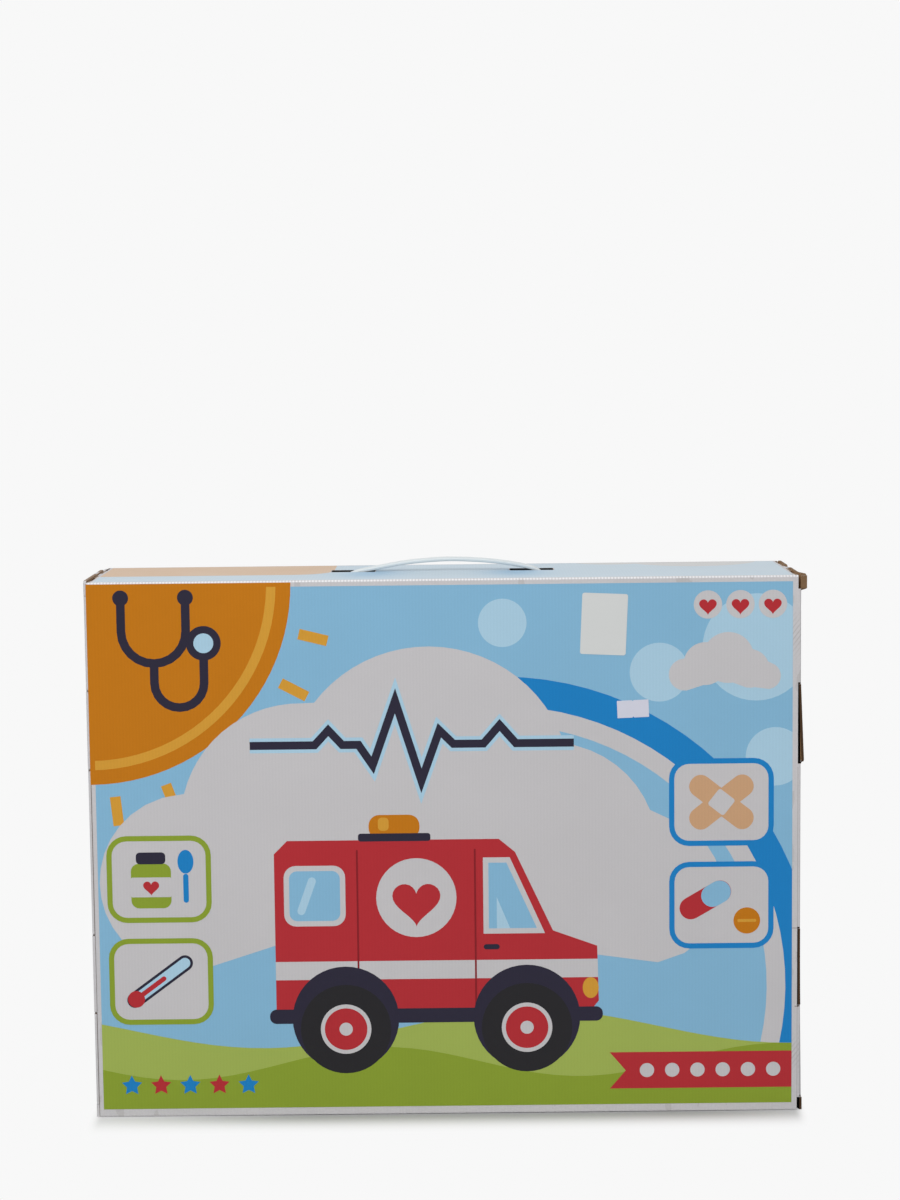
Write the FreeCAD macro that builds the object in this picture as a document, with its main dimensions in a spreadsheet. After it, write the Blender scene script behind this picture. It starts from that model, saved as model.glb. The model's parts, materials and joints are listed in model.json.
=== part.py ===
import FreeCAD, Part
import math
import os
import re

import Sketcher
from FreeCAD import Placement, Rotation, Vector

os.makedirs("parts", exist_ok=True)
doc = FreeCAD.newDocument("toy_doctor_case")

# Sizes in millimetres. X runs along the case, Y from its front to its lid, Z up.
SIZES = {
    "case_width": 530,
    "case_depth": 122,
    "case_height": 405,
    "board": 2,
    "slack": 0.2,
    "floor_gap": 0.4,
    "crease": 1.2,
    "relief": 10,
    "wall_stack": 6.4,
    "lock_length": 61,
    "lock_pitch": 184.6,
    "tongue_length": 58,
    "dust_length": 84,
    "lid_gap": 0.8,
    "lid_side_gap": 0.4,
    "tuck_width": 496,
    "tuck_start": 2.1,
    "tuck_length": 30,
    "tuck_corner": 15,
    "tuck_droop": 8,
    "ear_depth": 29,
    "ear_low": 30,
    "ear_high": 372,
    "ear_corner": 12,
    "handle_y": 12,
    "strap_width": 15,
    "strap_gauge": 1.8,
    "strap_rise": 11,
    "strap_foot": 65,
    "strap_drop": 7.2,
    "strap_slope": 0.45,
    "anchor_length": 12,
    "anchor_width": 22,
    "anchor_gauge": 2.2,
    "handle_slot_inner": 51.5,
    "handle_slot_outer": 85,
    "handle_slot_width": 16.5,
    "label_wide": 34,
    "label_tall": 45.4,
    "label_corner": 4,
    "tag_wide": 24,
    "tag_tall": 14,
    "tag_corner": 1.5,
    "paper": 0.2,
    "base_wide": 400,
    "base_tall": 245,
    "base_deep": 80,
    "base_wall": 3,
    "base_rim": 5,
    "base_corner": 34,
    "axle_hole": 2.8,
    "axle_station": 140,
    "axle_height": 16,
    "tray_wide": 330,
    "tray_tall": 200,
    "tray_deep": 24,
    "tray_wall": 2.5,
    "tray_rim": 6,
    "tray_corner": 40,
    "cup_radius": 23,
    "cup_station": 95,
    "column_wide": 92,
    "column_tall": 328,
    "column_deep": 74,
    "column_wall": 2.5,
    "column_rim": 1,
    "column_corner": 22,
    "wheel_radius": 38,
    "wheel_width": 30,
    "wheel_round": 7,
    "hub_radius": 17,
    "hub_width": 26,
    "hub_boss": 8,
    "axle_radius": 2.5,
    "axle_length": 285,
    "press_gap": 0.05,
    "basket_wide": 208,
    "basket_tall": 140,
    "basket_deep": 78,
    "basket_wall": 2.5,
    "basket_rim": 5,
    "basket_corner": 26,
    "basket_slot": 6,
    "basket_slot_pitch": 13,
    "basket_slot_low": 12,
    "basket_slot_high": 62,
    "bail_wide": 180,
    "bail_tall": 60,
    "bail_bar": 12,
    "bail_gauge": 7,
    "bail_corner": 30,
    "bail_eye": 3,
    "viewer_wide": 200,
    "viewer_tall": 170,
    "viewer_deep": 24,
    "viewer_corner": 18,
    "viewer_soft": 4,
    "viewer_recess": 8,
    "viewer_shell": 5,
    "cover_gauge": 4,
    "screen_wide": 152,
    "screen_tall": 106,
    "screen_rise": 20,
    "strip_tall": 28,
    "strip_drop": 56,
    "inset_gap": 0.2,
    "inset_deep": 6,
    "button_radius": 8,
    "button_wide": 40,
    "button_tall": 14,
    "button_deep": 7,
    "button_station": 42,
    "button_gap": 0.3,
    "button_lift": 3,
    "drip_radius": 26,
    "drip_length": 80,
    "drip_neck": 11,
    "drip_neck_length": 14,
    "pole_radius": 4,
    "pole_length": 180,
    "mallet_radius": 15,
    "mallet_length": 36,
    "mallet_cap_radius": 18,
    "mallet_cap_length": 15,
    "mallet_grip_radius": 11,
    "mallet_grip_length": 100,
    "mallet_neck_radius": 6,
    "mallet_neck_length": 18,
    "mallet_socket": 8,
    "barrel_radius": 15,
    "barrel_bore": 13,
    "barrel_length": 100,
    "barrel_flange": 22,
    "nozzle_radius": 3.5,
    "nozzle_length": 12,
    "flange_gauge": 3,
    "piston_start": 60,
    "piston_length": 8,
    "piston_gap": 0.1,
    "rod_radius": 5,
    "plunger_end": 150,
    "scope_head_wide": 40,
    "scope_head_tall": 34,
    "scope_head_deep": 28,
    "scope_corner": 12,
    "scope_grip_radius": 13,
    "scope_grip_length": 100,
    "scope_neck_radius": 9,
    "scope_neck_length": 8,
    "cone_base": 11,
    "cone_tip": 4,
    "cone_length": 18,
    "thermo_wide": 125,
    "thermo_tall": 26,
    "thermo_deep": 14,
    "thermo_corner": 11,
    "window_wide": 42,
    "window_tall": 14,
    "window_deep": 2,
    "pill_radius": 18,
    "pill_length": 50,
    "pill_neck": 12,
    "pill_neck_length": 16,
    "pill_cap_radius": 14.5,
    "pill_cap_length": 18,
    "dish_mean": 70,
    "dish_half": 28,
    "dish_angle": 38,
    "dish_deep": 22,
    "dish_wall": 2,
    "blade_gauge": 4,
    "blade_gap": 0.3,
    "loop_outer": 16,
    "loop_inner": 10,
    "loop_back": 62,
    "loop_side": 17,
    "rivet_radius": 3,
    "rivet_gap": 0.06,
    "rivet_head": 5,
    "rivet_head_gauge": 1.5,
}

sheet = doc.addObject("Spreadsheet::Sheet", "Sizes")
for row, (alias, number) in enumerate(SIZES.items(), start=1):
    sheet.set(f"A{row}", alias)
    sheet.set(f"B{row}", str(number))
    sheet.setAlias(f"B{row}", alias)
doc.recompute()

nodes = []


def qualified(formula):
    """Formula text in which each size name points at its cell."""
    def cell(match):
        return f"Sizes.{match.group(0)}" if match.group(0) in SIZES else match.group(0)
    return re.sub(r"[a-z_]+", cell, str(formula))


def value(formula):
    return float(sheet.evalExpression(qualified(formula)))


def bind(thing, **formulas):
    for name, formula in formulas.items():
        thing.setExpression(name, qualified(formula))


def place(thing, x, y, z, axis=(0, 0, 1), angle=0):
    """Puts a node where it sits in the case and lists it for export."""
    thing.Placement = Placement(Vector(), Rotation(Vector(*axis), angle))
    for name, formula in zip("xyz", (x, y, z)):
        thing.setExpression(f"Placement.Base.{name}", qualified(formula))
    nodes.append(thing)
    return thing


def block(label, x, y, z):
    """Square-edged box between two limits along each axis."""
    thing = doc.addObject("Part::Box", label)
    thing.Label = label
    limits = {"Length": x, "Width": y, "Height": z}
    for size_name, (low, high) in limits.items():
        thing.setExpression(size_name, qualified(f"({high}) - ({low})"))
    for axis_name, (low, high) in zip("xyz", (x, y, z)):
        thing.setExpression(f"Placement.Base.{axis_name}", qualified(low))
    return thing


def new_body(label):
    body = doc.addObject("PartDesign::Body", label)
    body.Label = label
    return body


def new_sketch(body, role, offset="0"):
    """Sketch on one of the body's own planes, moved along the plane's normal."""
    sketch = body.newObject("Sketcher::SketchObject", f"{body.Name}_sketch")
    plane = next(item for item in body.Origin.OriginFeatures if item.Role == role)
    sketch.AttachmentSupport = (plane, [""])
    sketch.MapMode = "FlatFace"
    sketch.setExpression("AttachmentOffset.Base.z", qualified(offset))
    return sketch


def pin_point(sketch, index, corner, x, y):
    """Holds one sketch point at the coordinates given by two formulas."""
    for kind, formula in (("DistanceX", x), ("DistanceY", y)):
        constraint = Sketcher.Constraint(kind, -1, 1, index, corner, value(formula))
        number = sketch.addConstraint(constraint)
        sketch.setExpression(f"Constraints[{number}]", qualified(formula))


def draw_polygon(sketch, corners):
    points = [Vector(value(x), value(y), 0) for x, y in corners]
    first = sketch.GeometryCount
    count = len(points)
    for index, start in enumerate(points):
        sketch.addGeometry(Part.LineSegment(start, points[(index + 1) % count]), False)
    for index in range(count):
        following = first + (index + 1) % count
        sketch.addConstraint(Sketcher.Constraint("Coincident", first + index, 2, following, 1))
    for index, (x, y) in enumerate(corners):
        pin_point(sketch, first + index, 1, x, y)


def draw_rectangle(sketch, wide, tall, x="0", y="0"):
    left, right = f"({x}) - ({wide}) / 2", f"({x}) + ({wide}) / 2"
    low, high = f"({y}) - ({tall}) / 2", f"({y}) + ({tall}) / 2"
    draw_polygon(sketch, [(left, low), (right, low), (right, high), (left, high)])


def draw_rounded(sketch, wide, tall, corner):
    """Rectangle about the origin with round corners: four sides, then four arcs."""
    right, top = f"({wide}) / 2", f"({tall}) / 2"
    side, head = f"({right} - ({corner}))", f"({top} - ({corner}))"
    stops = [(f"-{side}", f"-({top})"), (side, f"-({top})"), (right, f"-{head}"), (right, head),
             (side, top), (f"-{side}", top), (f"-({right})", head), (f"-({right})", f"-{head}")]
    points = [Vector(value(x), value(y), 0) for x, y in stops]
    for index in range(0, 8, 2):
        sketch.addGeometry(Part.LineSegment(points[index], points[index + 1]), False)
    quarter = math.pi / 2
    centres = [(side, f"-{head}"), (side, head), (f"-{side}", head), (f"-{side}", f"-{head}")]
    for number, (x, y) in enumerate(centres):
        circle = Part.Circle(Vector(value(x), value(y), 0), Vector(0, 0, 1), value(corner))
        start = (number - 1) * quarter
        arc = sketch.addGeometry(Part.ArcOfCircle(circle, start, start + quarter), False)
        sketch.addConstraint(Sketcher.Constraint("Coincident", number, 2, arc, 1))
        sketch.addConstraint(Sketcher.Constraint("Coincident", arc, 2, (number + 1) % 4, 1))
        radius = sketch.addConstraint(Sketcher.Constraint("Radius", arc, value(corner)))
        sketch.setExpression(f"Constraints[{radius}]", qualified(corner))
    for index, (x, y) in enumerate(stops):
        pin_point(sketch, index // 2, index % 2 + 1, x, y)


def draw_circle(sketch, radius, x="0", y="0"):
    circle = Part.Circle(Vector(value(x), value(y), 0), Vector(0, 0, 1), value(radius))
    index = sketch.addGeometry(circle, False)
    number = sketch.addConstraint(Sketcher.Constraint("Radius", index, value(radius)))
    sketch.setExpression(f"Constraints[{number}]", qualified(radius))
    pin_point(sketch, index, 3, x, y)


def pad(body, sketch, length, reverse=False):
    feature = body.newObject("PartDesign::Pad", f"{body.Name}_pad")
    feature.Profile = sketch
    bind(feature, Length=length)
    feature.Reversed = reverse
    doc.recompute()
    return feature


def pocket(body, sketch, length, reverse=False):
    """Cuts a sketch into the body, and makes sure that material went away."""
    before = body.Shape.Volume
    feature = body.newObject("PartDesign::Pocket", f"{body.Name}_pocket")
    feature.Profile = sketch
    bind(feature, Length=length)
    feature.Reversed = reverse
    doc.recompute()
    if body.Shape.Volume > before - 1:
        raise RuntimeError(f"pocket of {body.Label} removed nothing")
    return feature


def fillet(body, radius, chosen):
    """Rounds every edge of the body that the test picks."""
    base = body.Tip
    names = [f"Edge{number}" for number, edge in enumerate(base.Shape.Edges, 1) if chosen(edge)]
    feature = body.newObject("PartDesign::Fillet", f"{body.Name}_fillet")
    feature.Base = (base, names)
    bind(feature, Radius=radius)
    doc.recompute()
    return feature


def upright(axis, test=lambda point: True):
    """Picks straight edges along an axis whose middle passes the test."""
    def chosen(edge):
        if not isinstance(edge.Curve, Part.Line):
            return False
        along = abs(edge.Curve.Direction.dot(axis)) > 0.999
        return along and test(edge.BoundBox.Center)
    return chosen


def level(axis_name, formula, test=lambda point: True):
    """Picks edges that lie wholly at one height along an axis."""
    height = value(formula)

    def chosen(edge):
        heights = [getattr(point, axis_name) for point in edge.discretize(5)]
        flat = max(abs(item - height) for item in heights) < 0.01
        return flat and test(edge.BoundBox.Center)
    return chosen


def ring(radius):
    """Picks circular edges of one radius."""
    size = value(radius)

    def chosen(edge):
        return isinstance(edge.Curve, Part.Circle) and abs(edge.Curve.Radius - size) < 0.001
    return chosen


AXIS_X, AXIS_Y, AXIS_Z = Vector(1, 0, 0), Vector(0, 1, 0), Vector(0, 0, 1)


def slab(label, wide, tall, deep, corner, soft=None):
    """Plate that faces +Y, with round corners and a softened front edge."""
    body = new_body(label)
    sketch = new_sketch(body, "XZ_Plane")
    draw_rounded(sketch, wide, tall, corner)
    pad(body, sketch, deep, reverse=True)
    if soft:
        fillet(body, soft, level("y", deep))
    return body


def turned(label, profile):
    """Solid of revolution about Z from (radius, height) corners."""
    body = new_body(label)
    sketch = new_sketch(body, "XZ_Plane")
    draw_polygon(sketch, profile)
    feature = body.newObject("PartDesign::Revolution", f"{body.Name}_turn")
    feature.Profile = sketch
    feature.ReferenceAxis = (sketch, ["V_Axis"])
    feature.Angle = 360
    doc.recompute()
    return body


def tub(label, key):
    """Open moulding with a rim, mouth toward +Y, floor on y = 0."""
    wide, tall, deep, wall, rim, corner = (
        f"{key}_{part}" for part in ("wide", "tall", "deep", "wall", "rim", "corner"))
    body = new_body(label)
    outside = new_sketch(body, "XZ_Plane")
    draw_rounded(outside, f"{wide} - 2 * {rim}", f"{tall} - 2 * {rim}", corner)
    pad(body, outside, deep, reverse=True)
    fillet(body, f"2 * {wall}", level("y", "0"))
    lip = new_sketch(body, "XZ_Plane", f"-({deep} - {wall})")
    draw_rounded(lip, wide, tall, f"{corner} + {rim}")
    pad(body, lip, wall, reverse=True)
    mouth = new_sketch(body, "XZ_Plane", f"-{deep}")
    inset = f"2 * {rim} + 2 * {wall}"
    draw_rounded(mouth, f"{wide} - ({inset})", f"{tall} - ({inset})", f"{corner} - {wall}")
    pocket(body, mouth, f"{deep} - {wall}", reverse=True)
    fillet(body, wall, level("y", wall))
    return body


FRONT = "-case_depth / 2"
REAR = "case_depth / 2"
INSIDE = "case_width / 2 - wall_stack"
LOCK_STATIONS = ("case_height / 2 - lock_pitch / 2", "case_height / 2 + lock_pitch / 2")


def make_front_panel():
    body = new_body("front_panel")
    sketch = new_sketch(body, "XZ_Plane", "case_depth / 2")
    draw_rectangle(sketch, "case_width", "case_height", y="case_height / 2")
    pad(body, sketch, "board", reverse=True)
    edge = value(FRONT)
    fillet(body, "crease", level("y", edge))
    cuts = new_sketch(body, "XZ_Plane", "case_depth / 2")
    for side in (-1, 1):
        for station in LOCK_STATIONS:
            draw_rectangle(cuts, "2 * (board + slack)", "lock_length", f"{side} * case_width / 2", station)
        for end in ("relief / 2", "case_height - relief / 2"):
            draw_rectangle(cuts, "2 * (board + slack)", "relief", f"{side} * case_width / 2", end)
    pocket(body, cuts, "board")
    place(body, "0", "0", "0")


def make_top_panel():
    body = new_body("top_panel")
    sketch = new_sketch(body, "XY_Plane", "case_height - board")
    reach = "case_width - 2 * board - 4 * slack"
    draw_rectangle(sketch, reach, "case_depth - board", y="board / 2")
    pad(body, sketch, "board")
    slots = new_sketch(body, "XY_Plane", "case_height")
    middle = "(handle_slot_inner + handle_slot_outer) / 2"
    for side in (-1, 1):
        length = "handle_slot_outer - handle_slot_inner"
        draw_rectangle(slots, length, "handle_slot_width", f"{side} * {middle}", "handle_y")
        for notch in ("-case_depth * 0.3", "case_depth * 0.38"):
            draw_rectangle(slots, "2 * board", "case_depth * 0.18", f"{side} * ({reach}) / 2", notch)
    pocket(body, slots, "board")
    slot_half = value("handle_slot_outer + board")
    fillet(body, "board", upright(AXIS_Z, lambda point: abs(point.x) < slot_half))
    place(body, "0", "0", "0")


def make_bottom_panel():
    half = "case_width / 2 - board - 2 * slack"
    panel = block("bottom_panel", (f"-({half})", half),
                  (f"{FRONT} + board", f"{REAR} - board - slack"), ("0", "board"))
    nodes.append(panel)


def make_end_wall(name, side):
    """Board rolled over on itself, with tongues in the slots along the front fold."""
    body = new_body(f"{name}_fold")
    outer, inner = "case_width / 2", INSIDE
    front, rear = f"{FRONT} + board + slack", REAR
    corners = [(outer, front), (outer, rear), (inner, rear), (inner, front),
               (f"{inner} + board", front), (f"{inner} + board", f"{rear} - board"),
               (f"{outer} - board", f"{rear} - board"), (f"{outer} - board", front)]
    sketch = new_sketch(body, "XY_Plane", "board + slack")
    draw_polygon(sketch, [(f"{side} * ({x})", y) for x, y in corners])
    pad(body, sketch, "case_height - 2 * (board + slack)")
    rear_edge = value(REAR)
    fillet(body, "crease", upright(AXIS_Z, lambda point: abs(point.y - rear_edge) < 0.01))

    def lug(label, near, far, start, end, low, high):
        x = sorted((f"{side} * ({near})", f"{side} * ({far})"), key=value)
        return block(f"{name}_{label}", x, (start, end), (low, high))

    skin = f"{outer} - board"
    lugs = []
    for number, station in enumerate(LOCK_STATIONS, 1):
        low, high = f"{station} - tongue_length / 2", f"{station} + tongue_length / 2"
        lugs.append(lug(f"tongue_{number}", skin, outer, f"{FRONT} + slack", front, low, high))
    rims = {"low": ("floor_gap", "board + slack"),
            "high": ("case_height - board - slack", "case_height - floor_gap")}
    for label, (low, high) in rims.items():
        lugs.append(lug(f"rim_{label}", skin, outer, front, f"{rear} - board", low, high))
    reliefs = {"low": ("floor_gap", "relief - slack"),
               "high": ("case_height - relief + slack", "case_height - floor_gap")}
    for label, (low, high) in reliefs.items():
        lugs.append(lug(f"relief_{label}", skin, outer, f"{FRONT} + slack", front, low, high))
    wall = doc.addObject("Part::MultiFuse", name)
    wall.Label = name
    wall.Shapes = [body] + lugs
    wall.Refine = True
    nodes.append(wall)


def make_dust_flaps():
    heights = {"bottom": ("board + slack", "board + slack + dust_length"),
               "top": ("case_height - board - slack - dust_length", "case_height - board - slack")}
    near = f"{INSIDE} + board + slack"
    far = "case_width / 2 - board - slack"
    sides = {"left": (f"-({far})", f"-({near})"), "right": (near, far)}
    for end, z in heights.items():
        for side, x in sides.items():
            flap = block(f"dust_flap_{end}_{side}", x,
                         (f"{FRONT} + board + 2 * slack", f"{REAR} - 2 * board"), z)
            nodes.append(flap)


LID_TOP = "case_height - board - lid_gap"
LID_FACE = "case_depth / 2 - board"


def make_lid():
    body = new_body("lid_panel")
    sketch = new_sketch(body, "XZ_Plane", f"-({LID_FACE})")
    tall = f"{LID_TOP} - floor_gap"
    draw_rectangle(sketch, f"2 * ({INSIDE} - lid_side_gap)", tall, y=f"floor_gap + ({tall}) / 2")
    pad(body, sketch, "board", reverse=True)
    rear_edge, middle = value(REAR), value("case_height / 2")

    def low_edge(point):
        return abs(point.x) < 1 and point.z < middle

    def high_edge(point):
        return abs(point.x) < 1 and point.z > middle

    fillet(body, "crease", level("y", rear_edge, low_edge))
    fillet(body, "board - slack", level("y", rear_edge, high_edge))
    place(body, "0", "0", "0")


def make_tuck_flap():
    """Flap whose fold line is its own X axis, drooping a little under the top panel."""
    body = new_body("tuck_flap")
    sketch = new_sketch(body, "XY_Plane")
    draw_rectangle(sketch, "tuck_width", "tuck_length", y="-tuck_start - tuck_length / 2")
    pad(body, sketch, "board")
    lip = value("-tuck_start - tuck_length")
    fillet(body, "tuck_corner", upright(AXIS_Z, lambda point: abs(point.y - lip) < 0.01))
    place(body, "0", LID_FACE, f"{LID_TOP} - board", (1, 0, 0), value("tuck_droop"))
    bind(body, **{"Placement.Rotation.Angle": "tuck_droop"})


def make_lid_ears():
    for side, name in ((-1, "lid_ear_left"), (1, "lid_ear_right")):
        body = new_body(name)
        near = f"{INSIDE} - 1.5 * lid_side_gap - board"
        offset = near if side > 0 else f"-({near} + board)"
        sketch = new_sketch(body, "YZ_Plane", offset)
        rear, front = f"{LID_FACE} - slack", f"{LID_FACE} - slack - ear_depth"
        draw_polygon(sketch, [(front, "ear_low"), (rear, "ear_low"),
                              (rear, "ear_high"), (front, "ear_high")])
        pad(body, sketch, "board")
        tip = value(front)
        fillet(body, "ear_corner", upright(AXIS_X, lambda point: abs(point.y - tip) < 0.01))
        place(body, "0", "0", "0")


def make_handle():
    """Bowed strap that runs through the top panel to a wide anchor under each slot."""
    foot, rise, drop = value("strap_foot"), value("strap_rise"), value("strap_drop")
    deck = value("case_height")
    tail = foot + drop / value("strap_slope")
    bow = [(-tail, -drop), (-foot - 4, -1.8), (-foot, 0), (-0.82 * foot, 0.4 * rise),
           (-0.58 * foot, 0.72 * rise), (-0.29 * foot, 0.95 * rise), (0, rise)]
    bow += [(-x, z) for x, z in reversed(bow[:-1])]
    curve = Part.BSplineCurve()
    curve.interpolate([Vector(x, 0, deck + z) for x, z in bow])
    path = doc.addObject("Part::Feature", "handle_path")
    path.Shape = curve.toShape()
    section = doc.addObject("Sketcher::SketchObject", "handle_section")
    draw_rectangle(section, "strap_gauge", "strap_width")
    slope = curve.tangent(curve.FirstParameter)[0]
    section.Placement = Placement(Vector(-tail, 0, deck - drop), Rotation(Vector(0, 0, 1), slope))
    strap = doc.addObject("Part::Sweep", "handle_strap")
    strap.Sections = [section]
    strap.Spine = (path, ["Edge1"])
    strap.Solid = True
    strap.Frenet = False
    anchors = []
    for side, name in ((-1, "left"), (1, "right")):
        middle = side * (tail + 0.25 * value("anchor_length"))
        half = "anchor_length / 2"
        top = "case_height - strap_drop + strap_gauge / 2"
        anchors.append(block(f"handle_anchor_{name}", (f"{middle} - {half}", f"{middle} + {half}"),
                             ("-anchor_width / 2", "anchor_width / 2"), (f"{top} - anchor_gauge", top)))
    handle = doc.addObject("Part::MultiFuse", "carry_handle")
    handle.Label = "carry_handle"
    handle.Shapes = [strap] + anchors
    place(handle, "0", "handle_y", "0")


def make_labels():
    label = slab("large_label", "label_wide", "label_tall", "paper", "label_corner")
    place(label, "119.9", f"{FRONT} - paper", "371.8", (0, 1, 0), 1.9)
    tag = slab("small_label", "tag_wide", "tag_tall", "paper", "tag_corner")
    place(tag, "140.7", f"{FRONT} - paper", "307.6", (0, 1, 0), -1.8)


def make_trolley():
    base = tub("trolley_base", "base")
    for station in ("-axle_station", "axle_station"):
        for end in (-1, 1):
            hole = new_sketch(base, "XY_Plane", f"{end} * base_tall / 2")
            draw_circle(hole, "axle_hole", station, "axle_height")
            pocket(base, hole, "base_rim + 2 * base_wall", reverse=end < 0)
    place(base, "-52", "-58", "124.8")
    tray = tub("trolley_tray", "tray")
    cups = new_sketch(tray, "XZ_Plane", "-tray_wall")
    for station in ("-cup_station", "cup_station"):
        draw_circle(cups, "cup_radius", station)
    pocket(tray, cups, "2 * tray_wall", reverse=True)
    place(tray, "-52", "-54.4", "111")
    column = tub("trolley_column", "column")
    place(column, "204", "16", "166.4", (0, 0, 1), 180)


def make_wheels():
    bore = "hub_radius + press_gap"
    spots = [(x, y) for y in (-57.5, -26.5) for x in (0, 82)]
    for number, (x, y) in enumerate(spots, 1):
        tyre = turned(f"wheel_{number}", [(bore, "0"), ("wheel_radius", "0"),
                                          ("wheel_radius", "wheel_width"), (bore, "wheel_width")])
        fillet(tyre, "wheel_round", ring("wheel_radius"))
        place(tyre, x, y, "287", (1, 0, 0), -90)
        hole = "axle_radius + press_gap"
        hub = turned(f"wheel_hub_{number}", [
            (hole, "0"), ("hub_radius", "0"), ("hub_radius", "hub_width"), ("hub_boss", "hub_width"),
            ("hub_boss", "wheel_width"), (hole, "wheel_width")])
        fillet(hub, "2", ring("hub_radius"))
        place(hub, x, y, "287", (1, 0, 0), -90)
    for name, y in (("front", -10), ("rear", -2)):
        axle = turned(f"axle_{name}", [("0", "0"), ("axle_radius", "0"),
                                       ("axle_radius", "axle_length"), ("0", "axle_length")])
        fillet(axle, "axle_radius / 4", ring("axle_radius"))
        place(axle, "-38", y, "337", (0, 1, 0), 90)


def make_basket():
    basket = tub("basket", "basket")
    middle = "(basket_slot_low + basket_slot_high) / 2"
    tall = "basket_slot_high - basket_slot_low"
    through = "basket_rim + 2 * basket_wall"
    for end in (-1, 1):
        long_side = new_sketch(basket, "XY_Plane", f"{end} * basket_tall / 2")
        for step in range(-6, 7):
            draw_rectangle(long_side, "basket_slot", tall, f"{step} * basket_slot_pitch", middle)
        pocket(basket, long_side, through, reverse=end < 0)
        short_side = new_sketch(basket, "YZ_Plane", f"{end} * basket_wide / 2")
        for step in range(-3, 4):
            draw_rectangle(short_side, tall, "basket_slot", middle, f"{step} * basket_slot_pitch")
        pocket(basket, short_side, through, reverse=end < 0)
    place(basket, "-148", "-58", "319")
    for number, y in enumerate((-57, -48.5), 1):
        bail = new_body(f"basket_handle_{number}")
        sketch = new_sketch(bail, "XZ_Plane")
        out, leg = "bail_wide / 2", "bail_wide / 2 - bail_bar"
        draw_polygon(sketch, [
            (f"-({out})", "0"), (f"-({leg})", "0"), (f"-({leg})", "bail_tall - bail_bar"),
            (leg, "bail_tall - bail_bar"), (leg, "0"), (out, "0"), (out, "bail_tall"),
            (f"-({out})", "bail_tall")])
        pad(bail, sketch, "bail_gauge", reverse=True)
        top, under = value("bail_tall"), value("bail_tall - bail_bar")
        fillet(bail, "bail_corner", upright(AXIS_Y, lambda point: abs(point.z - top) < 0.01))
        inner = "bail_corner - bail_bar"
        fillet(bail, inner, upright(AXIS_Y, lambda point: abs(point.z - under) < 0.01))
        eyes = new_sketch(bail, "XZ_Plane")
        for side in (-1, 1):
            draw_circle(eyes, "bail_eye", f"{side} * (bail_wide - bail_bar) / 2", "bail_bar / 2")
        pocket(bail, eyes, "bail_gauge")
        place(bail, "54", y, "332")


def make_viewer():
    x, z, back = -133, 95.8, -29.5
    cover = slab("viewer_back_cover", "viewer_wide - 2 * viewer_shell",
                 "viewer_tall - 2 * viewer_shell", "cover_gauge", "viewer_corner - viewer_shell")
    place(cover, x, back, z)
    frame = slab("viewer_frame", "viewer_wide", "viewer_tall", "viewer_deep", "viewer_corner",
                 "viewer_soft")
    recess = new_sketch(frame, "XZ_Plane", "-viewer_deep")
    draw_rectangle(recess, "screen_wide", "screen_tall", y="screen_rise")
    draw_rectangle(recess, "screen_wide", "strip_tall", y="-strip_drop")
    pocket(frame, recess, "viewer_recess", reverse=True)
    hollow = new_sketch(frame, "XZ_Plane")
    draw_rectangle(hollow, "viewer_wide - 4 * viewer_shell", "viewer_tall - 4 * viewer_shell")
    pocket(frame, hollow, "viewer_deep - viewer_recess - 2")
    front = back + value("cover_gauge") + 0.1
    place(frame, x, front, z)
    sill = front + value("viewer_deep - viewer_recess") + 0.05
    screen = slab("viewer_screen", "screen_wide - 2 * inset_gap", "screen_tall - 2 * inset_gap",
                  "inset_deep", "1")
    place(screen, x, sill, z + value("screen_rise"))
    strip = slab("viewer_control_strip", "screen_wide - 2 * inset_gap", "strip_tall - 2 * inset_gap",
                 "inset_deep", "1")
    holes = new_sketch(strip, "XZ_Plane")
    draw_circle(holes, "button_radius + button_gap", "-button_station")
    draw_rectangle(holes, "button_wide + 2 * button_gap", "button_tall + 2 * button_gap",
                   "button_station - 6")
    pocket(strip, holes, "inset_deep")
    row = z - value("strip_drop")
    place(strip, x, sill, row)
    round_button = turned("viewer_button_round", [("0", "0"), ("button_radius", "0"),
                                                  ("button_radius", "button_deep"), ("0", "button_deep")])
    fillet(round_button, "1.5", lambda edge: ring("button_radius")(edge) and edge.BoundBox.ZMin > 1)
    lift = sill + value("button_lift")
    place(round_button, x - value("button_station"), lift, row, (1, 0, 0), -90)
    wide_button = slab("viewer_button_wide", "button_wide", "button_tall", "button_deep", "1", "0.8")
    place(wide_button, x + value("button_station") - 6, lift, row)


def make_drip():
    shoulder = "drip_length - drip_radius * 0.45"
    bottle = turned("drip_bottle", [
        ("0", "0"), ("drip_radius", "0"), ("drip_radius", shoulder), ("drip_neck", "drip_length"),
        ("drip_neck", "drip_length + drip_neck_length"), ("0", "drip_length + drip_neck_length")])
    fillet(bottle, "8", ring("drip_radius"))
    place(bottle, "156", "-25", "370.6", (0, 1, 0), 90)
    for name, y in (("lower", -34), ("upper", -24)):
        pole = turned(f"drip_pole_{name}", [("0", "0"), ("pole_radius", "0"),
                                            ("pole_radius", "pole_length"), ("0", "pole_length")])
        fillet(pole, "1", ring("pole_radius"))
        place(pole, "-38", y, "330", (0, 1, 0), 90)


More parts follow.
